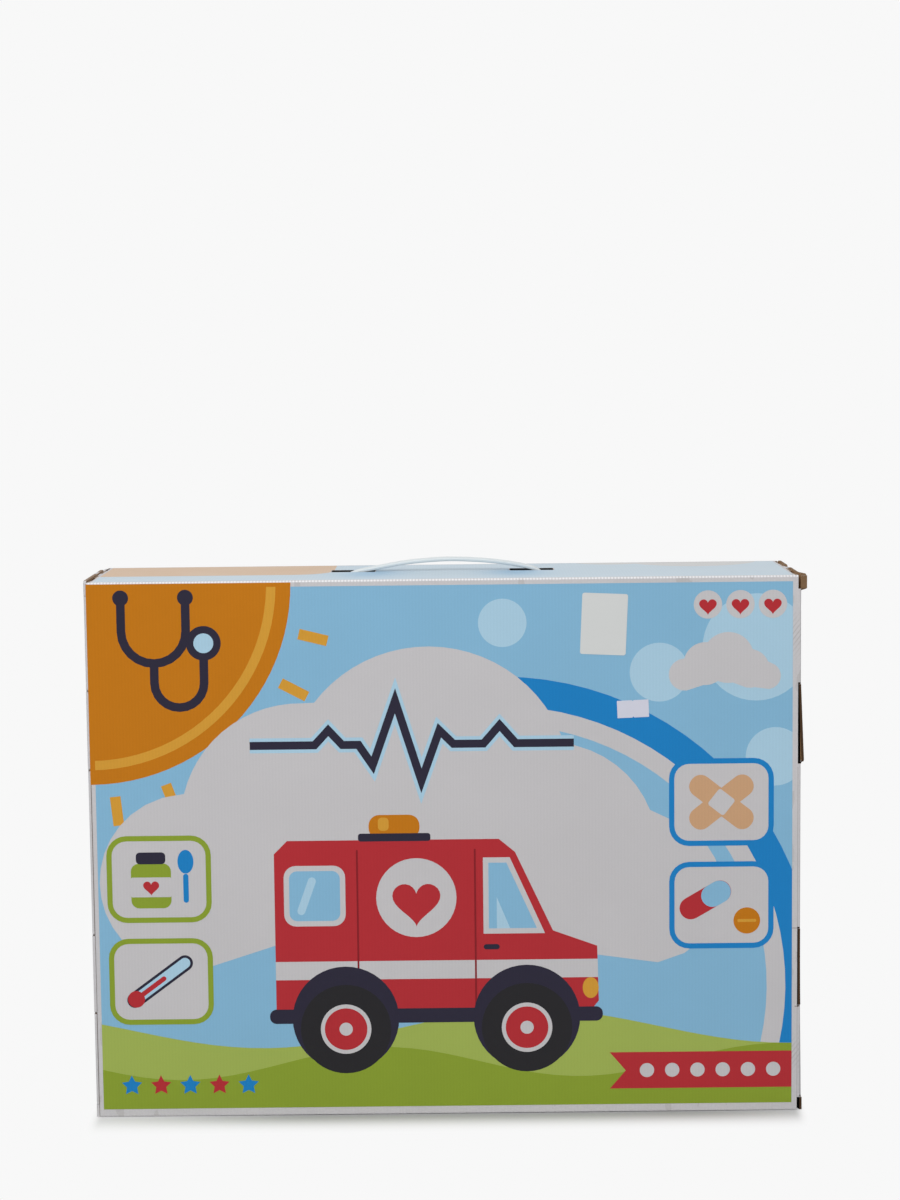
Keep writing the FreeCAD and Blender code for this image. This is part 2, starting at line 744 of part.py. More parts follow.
def make_hammer():
    x, y, z = -8, -8, 114.5
    head = turned("hammer_head", [
        ("0", "-mallet_length / 2"), ("mallet_radius", "-mallet_length / 2"),
        ("mallet_radius", "mallet_length / 2"), ("0", "mallet_length / 2")])
    socket = new_sketch(head, "YZ_Plane", "mallet_radius + 1")
    draw_circle(socket, "mallet_neck_radius + press_gap")
    pocket(head, socket, "mallet_socket + 1")
    place(head, x, y, z)
    for name, angle in (("upper", 0), ("lower", 180)):
        start = "mallet_length / 2 + press_gap"
        end = f"{start} + mallet_cap_length"
        cap = turned(f"hammer_cap_{name}", [
            ("0", start), ("mallet_cap_radius", start), ("mallet_cap_radius", f"{end} - 4"),
            ("mallet_radius", end), ("0", end)])
        fillet(cap, "3", ring("mallet_cap_radius"))
        place(cap, x, y, z, (1, 0, 0), angle)
    neck, grip = "mallet_neck_length", "mallet_grip_radius"
    handle = turned("hammer_handle", [
        ("0", "0"), ("mallet_neck_radius", "0"), ("mallet_neck_radius", neck), (grip, f"{neck} + 8"),
        (grip, f"{neck} + mallet_grip_length * 0.3"),
        (f"{grip} - 2", f"{neck} + mallet_grip_length * 0.55"),
        (grip, f"{neck} + mallet_grip_length"), ("0", f"{neck} + mallet_grip_length")])
    fillet(handle, "4", ring(grip))
    place(handle, x + value("mallet_radius - mallet_socket") + 0.1, y, z, (0, 1, 0), 90)


def make_syringe():
    barrel = turned("syringe_barrel", [
        ("0", "0"), ("nozzle_radius", "0"), ("nozzle_radius", "nozzle_length"),
        ("barrel_radius", "nozzle_length + 5"), ("barrel_radius", "barrel_length - flange_gauge"),
        ("barrel_flange", "barrel_length - flange_gauge"), ("barrel_flange", "barrel_length"),
        ("barrel_bore", "barrel_length"), ("barrel_bore", "nozzle_length + 7"),
        ("0", "nozzle_length + 7")])
    fillet(barrel, "flange_gauge / 3", ring("barrel_flange"))
    place(barrel, "-28", "-8", "171", (0, 1, 0), 90)
    piston = "barrel_bore - piston_gap"
    plunger = turned("syringe_plunger", [
        ("0", "piston_start"), (piston, "piston_start"), (piston, "piston_start + piston_length"),
        ("rod_radius", "piston_start + piston_length"), ("rod_radius", "plunger_end - flange_gauge"),
        ("barrel_radius", "plunger_end - flange_gauge"), ("barrel_radius", "plunger_end"),
        ("0", "plunger_end")])
    fillet(plunger, "flange_gauge / 3", ring("barrel_radius"))
    place(plunger, "-28", "-8", "171", (0, 1, 0), 90)


def make_otoscope():
    y, z = -8, 211.5
    head = slab("otoscope_head", "scope_head_wide", "scope_head_tall", "scope_head_deep",
                "scope_corner", "3")
    place(head, "-3", y - value("scope_head_deep / 2"), z)
    neck = "scope_neck_length"
    grip = turned("otoscope_handle", [
        ("0", "0"), ("scope_neck_radius", "0"), ("scope_neck_radius", neck),
        ("scope_grip_radius", f"{neck} + 4"), ("scope_grip_radius", f"{neck} + scope_grip_length"),
        ("0", f"{neck} + scope_grip_length")])
    fillet(grip, "3", ring("scope_grip_radius"))
    place(grip, -3 + value("scope_head_wide / 2") + 0.05, y, z, (0, 1, 0), 90)
    cone = turned("otoscope_cone", [("0", "0"), ("cone_base", "0"), ("cone_base", "3"),
                                    ("cone_tip", "cone_length"), ("0", "cone_length")])
    fillet(cone, "1", ring("cone_tip"))
    place(cone, "-3", y + value("scope_head_deep / 2") + 0.05, z, (1, 0, 0), -90)


def make_thermometer():
    x, y, z = -175.5, -25, 195
    body = slab("thermometer_body", "thermo_wide", "thermo_tall", "thermo_deep", "thermo_corner",
                "3")
    recess = new_sketch(body, "XZ_Plane", "-thermo_deep")
    draw_rectangle(recess, "window_wide", "window_tall", "thermo_wide * 0.1")
    pocket(body, recess, "window_deep", reverse=True)
    place(body, x, y, z)
    window = slab("thermometer_window", "window_wide - 2 * inset_gap", "window_tall - 2 * inset_gap",
                  "window_deep - inset_gap", "1")
    place(window, x + value("thermo_wide * 0.1"), y + value("thermo_deep - window_deep") + 0.05, z)


def make_pill_bottle():
    x, y, z = -108, -8, 200.5
    bottle = turned("pill_bottle", [
        ("0", "0"), ("pill_radius", "0"), ("pill_radius", "pill_length - 4"), ("pill_neck", "pill_length"),
        ("pill_neck", "pill_length + pill_neck_length"), ("0", "pill_length + pill_neck_length")])
    fillet(bottle, "3", ring("pill_radius"))
    place(bottle, x, y, z, (0, 1, 0), 90)
    low = "pill_length + 0.3"
    bore = "pill_neck + press_gap"
    cap = turned("pill_bottle_cap", [
        (bore, low), ("pill_cap_radius", low), ("pill_cap_radius", f"{low} + pill_cap_length"),
        ("0", f"{low} + pill_cap_length"), ("0", "pill_length + pill_neck_length + press_gap"),
        (bore, "pill_length + pill_neck_length + press_gap")])
    shoulder = value("pill_length + 9")
    fillet(cap, "1.2", lambda edge: ring("pill_cap_radius")(edge) and edge.BoundBox.ZMin > shoulder)
    place(cap, x, y, z, (0, 1, 0), 90)


def make_kidney_dish():
    """Curved dish: a band along an arc with round ends, hollowed from its mouth."""
    def outline(body, offset, half):
        sketch = new_sketch(body, "XZ_Plane", offset)
        mean, sweep = value("dish_mean"), value("dish_angle")
        turn = Rotation(Vector(0, 0, 1), sweep)
        left = turn.multVec(Vector(0, mean, 0))
        right = turn.inverted().multVec(Vector(0, mean, 0))
        near, far = (mean - half) / mean, (mean + half) / mean
        ends = {"left": left, "right": right}
        caps = {"left": turn.multVec(Vector(-half, mean, 0)),
                "right": turn.inverted().multVec(Vector(half, mean, 0))}
        sketch.addGeometry(Part.Arc(left * far, Vector(0, mean + half, 0), right * far), False)
        sketch.addGeometry(Part.Arc(left * near, Vector(0, mean - half, 0), right * near), False)
        for name, end in ends.items():
            sketch.addGeometry(Part.Arc(end * near, caps[name], end * far), False)
        return sketch

    body = new_body("kidney_dish")
    pad(body, outline(body, "0", value("dish_half")), "dish_deep", reverse=True)
    hollow = outline(body, "-dish_deep", value("dish_half - dish_wall"))
    pocket(body, hollow, "dish_deep - dish_wall", reverse=True)
    fillet(body, "dish_wall / 4", level("y", "dish_deep"))
    place(body, "42", "-29.5", "-16")


def make_scissors():
    """Two crossed halves on one rivet; the second half turns about it."""
    bar = [(-48, 7), (0, -7), (56, -1.5), (60, 0.5), (54, 4.5), (0, 7), (-46, 19)]
    halves = (("scissor_half_fixed", -1, "0"), ("scissor_half_moving", 1, "blade_gauge + blade_gap"))
    for name, side, level_y in halves:
        body = new_body(name)
        blade = new_sketch(body, "XZ_Plane", f"-({level_y})")
        draw_polygon(blade, [(x, side * z) for x, z in bar])
        pad(body, blade, "blade_gauge", reverse=True)
        loop = new_sketch(body, "XZ_Plane", f"-({level_y})")
        draw_circle(loop, "loop_outer", "-loop_back", f"{side} * loop_side")
        pad(body, loop, "blade_gauge", reverse=True)
        holes = new_sketch(body, "XZ_Plane", f"-({level_y})")
        draw_circle(holes, "loop_inner", "-loop_back", f"{side} * loop_side")
        draw_circle(holes, "rivet_radius + rivet_gap")
        pocket(body, holes, "blade_gauge")
        place(body, "-140", "-50", "293")
    reach = "2 * blade_gauge + blade_gap"
    gap = "blade_gap"
    pin = turned("scissor_pin", [
        ("0", f"-rivet_head_gauge - {gap}"), ("rivet_head", f"-rivet_head_gauge - {gap}"),
        ("rivet_head", f"-{gap}"), ("rivet_radius", f"-{gap}"), ("rivet_radius", f"{reach} + {gap}"),
        ("rivet_head", f"{reach} + {gap}"), ("rivet_head", f"{reach} + {gap} + rivet_head_gauge"),
        ("0", f"{reach} + {gap} + rivet_head_gauge")])
    place(pin, "-140", "-50", "293", (1, 0, 0), -90)


make_front_panel()
make_top_panel()
make_bottom_panel()
make_end_wall("end_wall_left", -1)
make_end_wall("end_wall_right", 1)
make_dust_flaps()
make_lid()
make_tuck_flap()
make_lid_ears()
make_handle()
make_labels()
make_trolley()
make_wheels()
make_basket()
make_viewer()
make_drip()
make_hammer()
make_syringe()
make_otoscope()
make_thermometer()
make_pill_bottle()
make_kidney_dish()
make_scissors()

doc.recompute()
for item in doc.Objects:
    if "Invalid" in item.State or "Error" in item.State:
        raise RuntimeError(f"{item.Label} is in state {item.State}")
for node in nodes:
    if node.Shape.isNull() or not node.Shape.isValid():
        raise RuntimeError(f"{node.Label} has no valid shape")
    node.Shape.exportStep(f"parts/{node.Label}.step")
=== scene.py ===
import json
from math import atan2, copysign, cos, degrees, dist, hypot, pi, radians, sin, sqrt

import bmesh
import bpy
from mathutils import Matrix, Vector
from mathutils.geometry import interpolate_bezier


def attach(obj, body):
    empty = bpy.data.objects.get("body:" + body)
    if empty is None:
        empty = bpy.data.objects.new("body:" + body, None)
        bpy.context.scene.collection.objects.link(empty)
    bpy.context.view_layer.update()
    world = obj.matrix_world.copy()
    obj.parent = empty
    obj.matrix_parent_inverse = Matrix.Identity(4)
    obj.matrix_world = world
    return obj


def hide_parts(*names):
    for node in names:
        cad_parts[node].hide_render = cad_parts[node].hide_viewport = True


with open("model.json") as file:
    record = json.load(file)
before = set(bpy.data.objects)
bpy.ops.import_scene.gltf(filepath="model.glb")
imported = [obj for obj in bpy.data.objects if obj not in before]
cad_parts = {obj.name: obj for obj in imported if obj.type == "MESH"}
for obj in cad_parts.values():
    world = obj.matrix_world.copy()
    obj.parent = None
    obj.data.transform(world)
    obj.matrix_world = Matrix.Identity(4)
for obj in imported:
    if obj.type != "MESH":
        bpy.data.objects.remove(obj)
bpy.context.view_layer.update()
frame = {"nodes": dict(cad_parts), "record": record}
nodes = frame["nodes"]
mm = 0.001


# colours and small node helpers

def ink(red, green, blue):  # 0 to 255, as on a printer's swatch
    def linear(level):
        level /= 255
        return level / 12.92 if level <= 0.04045 else ((level + 0.055) / 1.055) ** 2.4
    return (linear(red), linear(green), linear(blue), 1)


def addNode(tree, kind, **settings):
    node = tree.nodes.new("ShaderNode" + kind)
    for name, setting in settings.items():
        setattr(node, name, setting)
    return node


def feed(tree, socket, source):  # link a socket, or write a plain value
    if isinstance(source, bpy.types.NodeSocket):
        tree.links.new(source, socket)
    else:
        socket.default_value = source


def setInputs(node, levels):
    for name, level in levels.items():
        node.inputs[name].default_value = level


def calc(tree, operation, *sources):
    node = addNode(tree, "Math", operation=operation)
    for index, source in enumerate(sources):
        feed(tree, node.inputs[index], source)
    return node.outputs[0]


def mixColour(tree, factor, first, second, blend="MIX"):
    node = addNode(tree, "Mix", data_type="RGBA", blend_type=blend)
    feed(tree, node.inputs[0], factor)
    feed(tree, node.inputs[6], first)
    feed(tree, node.inputs[7], second)
    return node.outputs[2]


def noise(tree, place, scale, detail, stretch=None):
    if stretch:
        mapping = addNode(tree, "Mapping")
        mapping.inputs["Scale"].default_value = stretch
        tree.links.new(place, mapping.inputs["Vector"])
        place = mapping.outputs["Vector"]
    node = addNode(tree, "TexNoise")
    node.inputs["Detail"].default_value = detail
    feed(tree, node.inputs["Scale"], scale)
    tree.links.new(place, node.inputs["Vector"])
    return node.outputs["Fac"]


def sway(tree, source, amount):  # noise about zero
    return calc(tree, "MULTIPLY", calc(tree, "SUBTRACT", source, 0.5), amount)


def placeAxes(tree, outlet="Object"):  # x, y and z of a place, or of a normal
    spot = addNode(tree, "SeparateXYZ")
    tree.links.new(addNode(tree, "TexCoord").outputs[outlet], spot.inputs[0])
    return dict(zip("xyz", spot.outputs))


def newGroup(name, inputs, outputs):
    tree = bpy.data.node_groups.new(name, "ShaderNodeTree")
    for label, level in inputs.items():
        socket = tree.interface.new_socket(label, in_out="INPUT", socket_type="NodeSocketFloat")
        socket.default_value = level
    for label, kind in outputs.items():
        tree.interface.new_socket(label, in_out="OUTPUT", socket_type="NodeSocket" + kind)
    return tree, tree.nodes.new("NodeGroupInput").outputs, tree.nodes.new("NodeGroupOutput").inputs


def useGroup(tree, group, **values):
    node = tree.nodes.new("ShaderNodeGroup")
    node.node_tree = group
    for label, source in values.items():
        feed(tree, node.inputs[label], source)
    return node.outputs


# shared effects: paper tooth, moulded skin, cut flutes

flutePitch = 0.0024
plyGauge = 0.0022


def paperTooth():  # fibre speckle and cloudy tone of coated paper, and painted shade banding along the flutes beneath it
    tree, given, result = newGroup(
        "paperTooth", {"Tooth": 900, "Mottle": 0.06, "Gloss": 0.5, "Ripple": 0.0},
        {"Shade": "Float", "Rough": "Float", "Height": "Float"})
    place = addNode(tree, "TexCoord").outputs["Object"]
    fibre = noise(tree, place, given["Tooth"], 5)
    tone = noise(tree, place, 14, 3)
    speck = sway(tree, fibre, given["Mottle"])
    drift = sway(tree, tone, given["Mottle"])
    # painted shade: faint light and dark bands where the flutes press through
    board = calc(tree, "SINE", calc(tree, "MULTIPLY", placeAxes(tree)["x"], 2 * pi / flutePitch))
    ripple = calc(tree, "MULTIPLY", board, given["Ripple"])
    tint = calc(tree, "ADD", calc(tree, "ADD", speck, drift), ripple)
    feed(tree, result["Shade"], calc(tree, "ADD", tint, 1.0))
    feed(tree, result["Rough"], calc(tree, "ADD", given["Gloss"], sway(tree, tone, 0.25)))
    feed(tree, result["Height"], fibre)
    return tree


def mouldedSkin():  # fine orange peel, faint flow marks, rubbed spots
    tree, given, result = newGroup(
        "mouldedSkin", {"Grain": 1400, "Rough": 0.3, "Rub": 0.1},
        {"Shade": "Float", "Rough": "Float", "Height": "Float"})
    place = addNode(tree, "TexCoord").outputs["Object"]
    peel = noise(tree, place, given["Grain"], 2)
    flow = noise(tree, place, 22, 3, (1, 1, 0.25))
    rubbed = calc(tree, "SMOOTH_MIN", flow, 0.62, 0.1)
    feed(tree, result["Shade"], calc(tree, "ADD", sway(tree, flow, given["Rub"]), 1.0))
    spread = calc(tree, "MULTIPLY", rubbed, 0.22)
    feed(tree, result["Rough"], calc(tree, "ADD", given["Rough"], spread))
    feed(tree, result["Height"], peel)
    return tree


def cutFlutes():  # the wave between two liners where board is cut, as a mask of paper against the painted shade of the hollow channels
    tree, given, result = newGroup(
        "cutFlutes", {"Along": 0, "Across": 0.5, "Pitch": flutePitch},
        {"Paper": "Float", "Height": "Float"})
    turns = calc(tree, "DIVIDE", given["Along"], given["Pitch"])
    wave = calc(tree, "SINE", calc(tree, "MULTIPLY", turns, 2 * pi))
    centre = calc(tree, "MULTIPLY_ADD", wave, 0.34, 0.5)
    offset = calc(tree, "ABSOLUTE", calc(tree, "SUBTRACT", given["Across"], centre))
    medium = calc(tree, "LESS_THAN", offset, 0.16)
    edge = calc(tree, "ABSOLUTE", calc(tree, "SUBTRACT", given["Across"], 0.5))
    liner = calc(tree, "GREATER_THAN", edge, 0.34)
    feed(tree, result["Paper"], calc(tree, "MAXIMUM", medium, liner))
    feed(tree, result["Height"], wave)
    return tree


paperToothGroup = paperTooth()
mouldedSkinGroup = mouldedSkin()
cutFlutesGroup = cutFlutes()
print("shared effects ready")


def newMaterial(name):
    material = bpy.data.materials.new(name)
    material.use_nodes = True
    tree = material.node_tree
    return material, tree, tree.nodes["Principled BSDF"]


def bump(tree, shader, height, strength, distance):
    node = addNode(tree, "Bump")
    setInputs(node, {"Strength": strength, "Distance": distance})
    tree.links.new(height, node.inputs["Height"])
    tree.links.new(node.outputs["Normal"], shader.inputs["Normal"])


def tintedMaterial(name, swatch, group, grain, **values):  # one swatch under a shared effect
    material, tree, shader = newMaterial(name)
    skin = useGroup(tree, group, **values)
    colour = mixColour(tree, 1.0, ink(*swatch), skin["Shade"], "MULTIPLY")
    tree.links.new(colour, shader.inputs["Base Color"])
    tree.links.new(skin["Rough"], shader.inputs["Roughness"])
    bump(tree, shader, skin["Height"], grain, 0.0001)
    return material, tree, shader


# printed inks

inkSet = {
    "paperWhite": (187, 185, 187),
    "skyBlue": (125, 172, 201),
    "paleBlue": (160, 193, 212),
    "ringBlue": (22, 120, 184),
    "sunOrange": (183, 111, 12),
    "sunGold": (199, 145, 50),
    "hillGreen": (129, 149, 45),
    "farGreen": (151, 168, 80),
    "cartRed": (169, 41, 48),
    "deepRed": (126, 25, 33),
    "navy": (39, 36, 53),
    "tyreBlack": (34, 33, 36),
    "plasterTan": (191, 151, 115),
    "topOrange": (197, 168, 140),
    "topBlue": (184, 200, 211),
    "topWhite": (194, 194, 194),
}


slotDipShade = {  # painted shade of a dip in the top panel toward the front of each strap slot; the panel itself stays flat
    "station": 0.056, "depth": -0.012, "reach": (0.024, 0.03), "strength": 0.7, "tone": (126, 170, 202),
}


# painted shade: a soft darker blue patch in front of each strap slot
def paintedSlotDipShade(tree):
    place = placeAxes(tree)
    along = calc(tree, "SUBTRACT", calc(tree, "ABSOLUTE", place["x"]), slotDipShade["station"])
    across = calc(tree, "SUBTRACT", place["y"], slotDipShade["depth"])
    squares = [calc(tree, "POWER", calc(tree, "DIVIDE", offset, reach), 2.0)
               for offset, reach in zip((along, across), slotDipShade["reach"])]
    spread = calc(tree, "EXPONENT", calc(tree, "MULTIPLY", calc(tree, "ADD", *squares), -1.0))
    return calc(tree, "MULTIPLY", spread, slotDipShade["strength"])


def inkMaterial(name, swatch):
    material, tree, shader = tintedMaterial(name + "Ink", swatch, paperToothGroup, 0.12,
                                            Tooth=1100, Mottle=0.07, Gloss=0.42, Ripple=0.014)
    setInputs(shader, {"Specular IOR Level": 0.14})
    # the top's blue ink carries the painted slot-dip shade
    if name == "topBlue":
        base = shader.inputs["Base Color"]
        dipShaded = mixColour(tree, paintedSlotDipShade(tree), base.links[0].from_socket, ink(*slotDipShade["tone"]))
        tree.links.new(dipShaded, base)
    return material


inkMaterials = {name: inkMaterial(name, swatch) for name, swatch in inkSet.items()}


# corrugated board: white lined side, brown inner side, fluted cut edges

boardLook = {
    "liner": (189, 187, 189),
    "kraft": (166, 131, 97),
    "cut": (150, 116, 82),
    # painted shade in the hollow channels between the flutes of a cut edge
    "gap": (52, 37, 25),
    "rub": (158, 154, 152),
    # paper worn white along the top fold, with a painted highlight
    "fold": (226, 226, 228),
    "worn": (118, 93, 69),
    "shade": (70, 52, 38),
    # near-black painted shadow for narrow gaps and the far edges of the strap slots
    "deep": (16, 12, 9),
    # painted shade in creases, folds and wrinkles
    "creaseShade": (118, 112, 110),
}
smears = {"scale": 70, "stretch": (1, 1, 0.35), "from": 0.64, "strength": 0.35}
foldBeads = {"from": 403.7, "swing": 0.35, "level": 0.6}  # flute tips press through along the top fold; paper worn white there, with a painted highlight on the tips


class BoardSurface:
    slanted, squarely = 0.35, 0.5  # how straight a face looks along an axis

    def __init__(self, tree):
        self.tree = tree
        self.normal = placeAxes(tree, "Normal")
        self.place = placeAxes(tree)

    def calc(self, operation, *sources):
        return calc(self.tree, operation, *sources)

    def facing(self, axis, sign):
        return self.calc("GREATER_THAN", self.calc("MULTIPLY", self.normal[axis], sign), self.slanted)

    def alongAxis(self, axis):  # faces either way along the axis
        return self.calc("GREATER_THAN", self.calc("ABSOLUTE", self.normal[axis]), self.squarely)

    def outward(self, axis, sign):  # faces away from the middle of the case, or toward it
        lean = self.calc("MULTIPLY", self.normal[axis], self.calc("SIGN", self.place[axis]))
        return self.calc("GREATER_THAN", self.calc("MULTIPLY", lean, sign), self.squarely)

    def above(self, axis, level):
        return self.calc("GREATER_THAN", self.place[axis], level * mm)

    def below(self, axis, level):
        return self.calc("LESS_THAN", self.place[axis], level * mm)

    def reach(self, axis):
        return self.calc("ABSOLUTE", self.place[axis])

    def wide(self, axis, level):
        return self.calc("GREATER_THAN", self.reach(axis), level * mm)

    def near(self, axis, level):
        return self.calc("LESS_THAN", self.reach(axis), level * mm)

    def span(self, axis, low, high):
        return self.both(self.above(axis, low), self.below(axis, high))

    def without(self, first, second):
        return self.both(first, self.calc("SUBTRACT", 1.0, second))

    def any(self, first, *others):
        for other in others:
            first = self.calc("MAXIMUM", first, other)
        return first

    def both(self, first, *others):
        for other in others:
            first = self.calc("MULTIPLY", first, other)
        return first

    def ply(self, axis, start):  # 0 to 1 through the board, repeating per ply
        depth = self.calc("SUBTRACT", self.reach(axis), start * mm)
        return self.calc("FRACT", self.calc("DIVIDE", depth, plyGauge))


def rawTop(s):  # worn stretches where the top meets the end walls
    stretches = s.any(s.span("y", -60, -3), s.both(s.span("y", 12, 34), s.below("x", 0)),
                      s.both(s.span("y", 14, 58), s.above("x", 0)))
    return s.both(s.facing("z", 1), s.wide("x", 260.9), stretches)


creaseShadeLines = [  # painted shade in the folds round to the end walls, and in nicks at the ends of a slit
    {"x": (-263.3, -262.6), "z": (-1, 335), "strength": 1.0},
    {"x": (262.6, 263.2), "z": (-1, 262), "strength": 0.35},
    {"x": (257.5, 264), "z": (139.4, 140.2), "strength": 0.6},
    {"x": (261, 264), "z": (79.4, 80.4), "strength": 0.6},
]
wrinkleShadeLines = {  # painted shade in fine slanting wrinkle lines in two spots of the right border
    "from": 258, "lean": -0.75, "turns": 1900, "sharpness": 6.0, "strength": 0.4,
    "spots": ((361, 13), (44, 11)),
}
lockGapShadows = {  # painted shadow in the gaps beside the sprung ply: x limit and heights
    "front": -56, "lean": 0.0229,
    "tongue": (271.1, (262, 330)), "foot": (264.95, (-1, 14)), "slit": (263.5, (80, 145)),
}


def frontCreaseShade(s):
    lines = [s.both(s.span("x", *line["x"]), s.span("z", *line["z"]), line["strength"]) for line in creaseShadeLines]
    return s.both(s.facing("y", -1), s.any(*lines))


# painted shade along wrinkles that have no shape of their own
def wrinkleShade(s):
    slant = s.calc("MULTIPLY_ADD", s.place["z"], wrinkleShadeLines["lean"], s.place["x"])
    wave = s.calc("MULTIPLY_ADD", s.calc("SINE", s.calc("MULTIPLY", slant, wrinkleShadeLines["turns"])), 0.5, 0.5)
    lines = s.calc("POWER", wave, wrinkleShadeLines["sharpness"])
    spots = []
    for height, reach in wrinkleShadeLines["spots"]:
        away = s.calc("DIVIDE", s.calc("SUBTRACT", s.place["z"], height * mm), reach * mm)
        spots.append(s.calc("EXPONENT", s.both(away, away, -1.0)))
    return s.both(s.facing("y", -1), s.above("x", wrinkleShadeLines["from"]), lines, s.any(*spots), wrinkleShadeLines["strength"])


def endLining(s):  # white outside and on the rolled-in ply
    return s.any(s.both(s.outward("x", 1), s.wide("x", 263.8)), s.both(s.outward("x", -1), s.near("x", 258.8)),
                 s.both(s.facing("y", 1), s.above("y", 59.6)), s.without(s.facing("z", 1), rawTop(s)))


# painted shadow in the narrow gaps and notches beside the sprung ply
def lockGapShadow(s):
    gaps = []
    for name in ("tongue", "foot", "slit"):
        edge, heights = lockGapShadows[name]
        across = s.place["x"]
        if name == "tongue":  # its gap widens downward
            across = s.calc("MULTIPLY_ADD", s.place["z"], lockGapShadows["lean"], across)
        gaps.append(s.both(s.calc("LESS_THAN", across, edge * mm), s.span("z", *heights)))
    return s.both(s.below("y", lockGapShadows["front"]), s.any(*gaps))


def slotShadow(s):  # painted shadow on the far edge of each strap slot
    return s.both(s.facing("y", -1), s.span("y", 2, 22), s.wide("x", 50), s.near("x", 87))


boards = {
    "front_panel": {
        "lined": lambda s: s.any(s.facing("y", -1), s.wide("x", 264.6), s.above("z", 404.5), s.below("z", 0.5)),
        "creaseShade": lambda s: s.any(frontCreaseShade(s), wrinkleShade(s)), "through": ("y", 59), "along": "x"},
    "top_panel": {
        "lined": lambda s: s.without(s.facing("z", 1), rawTop(s)),
        "worn": rawTop, "paintedShadow": slotShadow, "through": ("z", 403), "along": "x"},
    "bottom_panel": {"lined": lambda s: s.facing("z", -1), "through": ("z", 0), "along": "x"},
    "lid_panel": {
        "lined": lambda s: s.any(s.facing("y", 1), s.above("z", 402), s.below("z", 0.6)),
        "through": ("y", 59), "along": "x"},
    "tuck_flap": {"lined": lambda s: s.facing("z", 1), "through": ("z", 396), "along": "x"},
    "end_wall_left": {
        "lined": lambda s: s.any(endLining(s), s.facing("y", -1)),
        "worn": rawTop, "through": ("x", 258.6), "along": "y"},
    "end_wall_right": {
        "lined": lambda s: s.any(endLining(s), s.both(s.facing("y", -1), s.span("z", 11, 81))),
        "worn": lambda s: s.any(rawTop(s), s.both(s.facing("y", -1), s.above("z", 392))),
        "shade": lambda s: s.both(s.facing("y", -1), s.below("z", 392)),
        "paintedShadow": lockGapShadow, "sheen": 0.02,
        "through": ("x", 258.6), "along": "y"},
}
for side, sign in (("left", -1), ("right", 1)):
    lined = lambda s, sign=sign: s.facing("x", sign)
    boards["lid_ear_" + side] = {"lined": lined, "through": ("x", 256), "along": "z"}
    for level in ("top", "bottom"):
        boards["dust_flap_" + level + "_" + side] = {"lined": lined, "through": ("x", 260.8), "along": "z"}


def boardMaterial(name, board):
    material, tree, shader = newMaterial(name + "Board")
    surface = BoardSurface(tree)
    lined = board["lined"](surface)
    throughAxis, start = board["through"]
    flutes = useGroup(tree, cutFlutesGroup, Along=surface.place[board["along"]],
                      Across=surface.ply(throughAxis, start), Pitch=flutePitch)
    tooth = useGroup(tree, paperToothGroup, Tooth=700, Mottle=0.16, Gloss=0.55, Ripple=0.01)
    # cut edge: flute paper over the painted shade of the channels
    raw = mixColour(tree, flutes["Paper"], ink(*boardLook["gap"]), ink(*boardLook["cut"]))
    flatSide = surface.alongAxis(throughAxis)
    brown = mixColour(tree, flatSide, raw, ink(*boardLook["kraft"]))
    # worn raw board, then painted shade and painted gap shadow over the brown
    for mask, tone in (("worn", "worn"), ("shade", "shade"), ("paintedShadow", "deep")):
        if mask in board:
            brown = mixColour(tree, board[mask](surface), brown, ink(*boardLook[tone]))
    smear = noise(tree, addNode(tree, "TexCoord").outputs["Object"], smears["scale"], 4, smears["stretch"])
    rubbed = calc(tree, "MULTIPLY", calc(tree, "GREATER_THAN", smear, smears["from"]), smears["strength"])
    white = mixColour(tree, rubbed, ink(*boardLook["liner"]), ink(*boardLook["rub"]))
    colour = mixColour(tree, lined, brown, white)
    # painted crease shade over the lined and brown colour
    if "creaseShade" in board:
        colour = mixColour(tree, board["creaseShade"](surface), colour, ink(*boardLook["creaseShade"]))
    shaded = mixColour(tree, 1.0, colour, tooth["Shade"], "MULTIPLY")
    # along the top fold: paper worn white and a painted highlight on the flute tips
    if name == "front_panel":
        bead = calc(tree, "MULTIPLY_ADD", flutes["Height"], foldBeads["swing"], foldBeads["level"])
        beadHighlights = surface.both(surface.above("z", foldBeads["from"]), bead)
        shaded = mixColour(tree, beadHighlights, shaded, ink(*boardLook["fold"]))
    tree.links.new(shaded, shader.inputs["Base Color"])
    tree.links.new(tooth["Rough"], shader.inputs["Roughness"])
    setInputs(shader, {"Specular IOR Level": board.get("sheen", 0.3)})
    ripple = calc(tree, "MULTIPLY_ADD", flutes["Height"], 0.15, tooth["Height"])
    bump(tree, shader, ripple, 0.2, 0.0002)
    return material


# moulded plastics, paper labels, strap and rods

plastics = {
    "red_plastic": {"colour": (186, 34, 40), "rough": 0.2},
    "blue_plastic": {"colour": (72, 150, 204), "rough": 0.22},
    "green_plastic": {"colour": (150, 174, 44), "rough": 0.24},
    "orange_plastic": {"colour": (214, 130, 38), "rough": 0.22},
    "white_plastic": {"colour": (224, 224, 220), "rough": 0.2},
    "black_plastic": {"colour": (34, 34, 37), "rough": 0.34},
    "strap_plastic": {"colour": (207, 215, 218), "rough": 0.34, "milky": 0.7},
    "clear_plastic": {"colour": (226, 236, 240), "rough": 0.04, "clear": 0.9},
    "axle_steel": {"colour": (186, 187, 190), "rough": 0.2, "metal": 1.0},
}


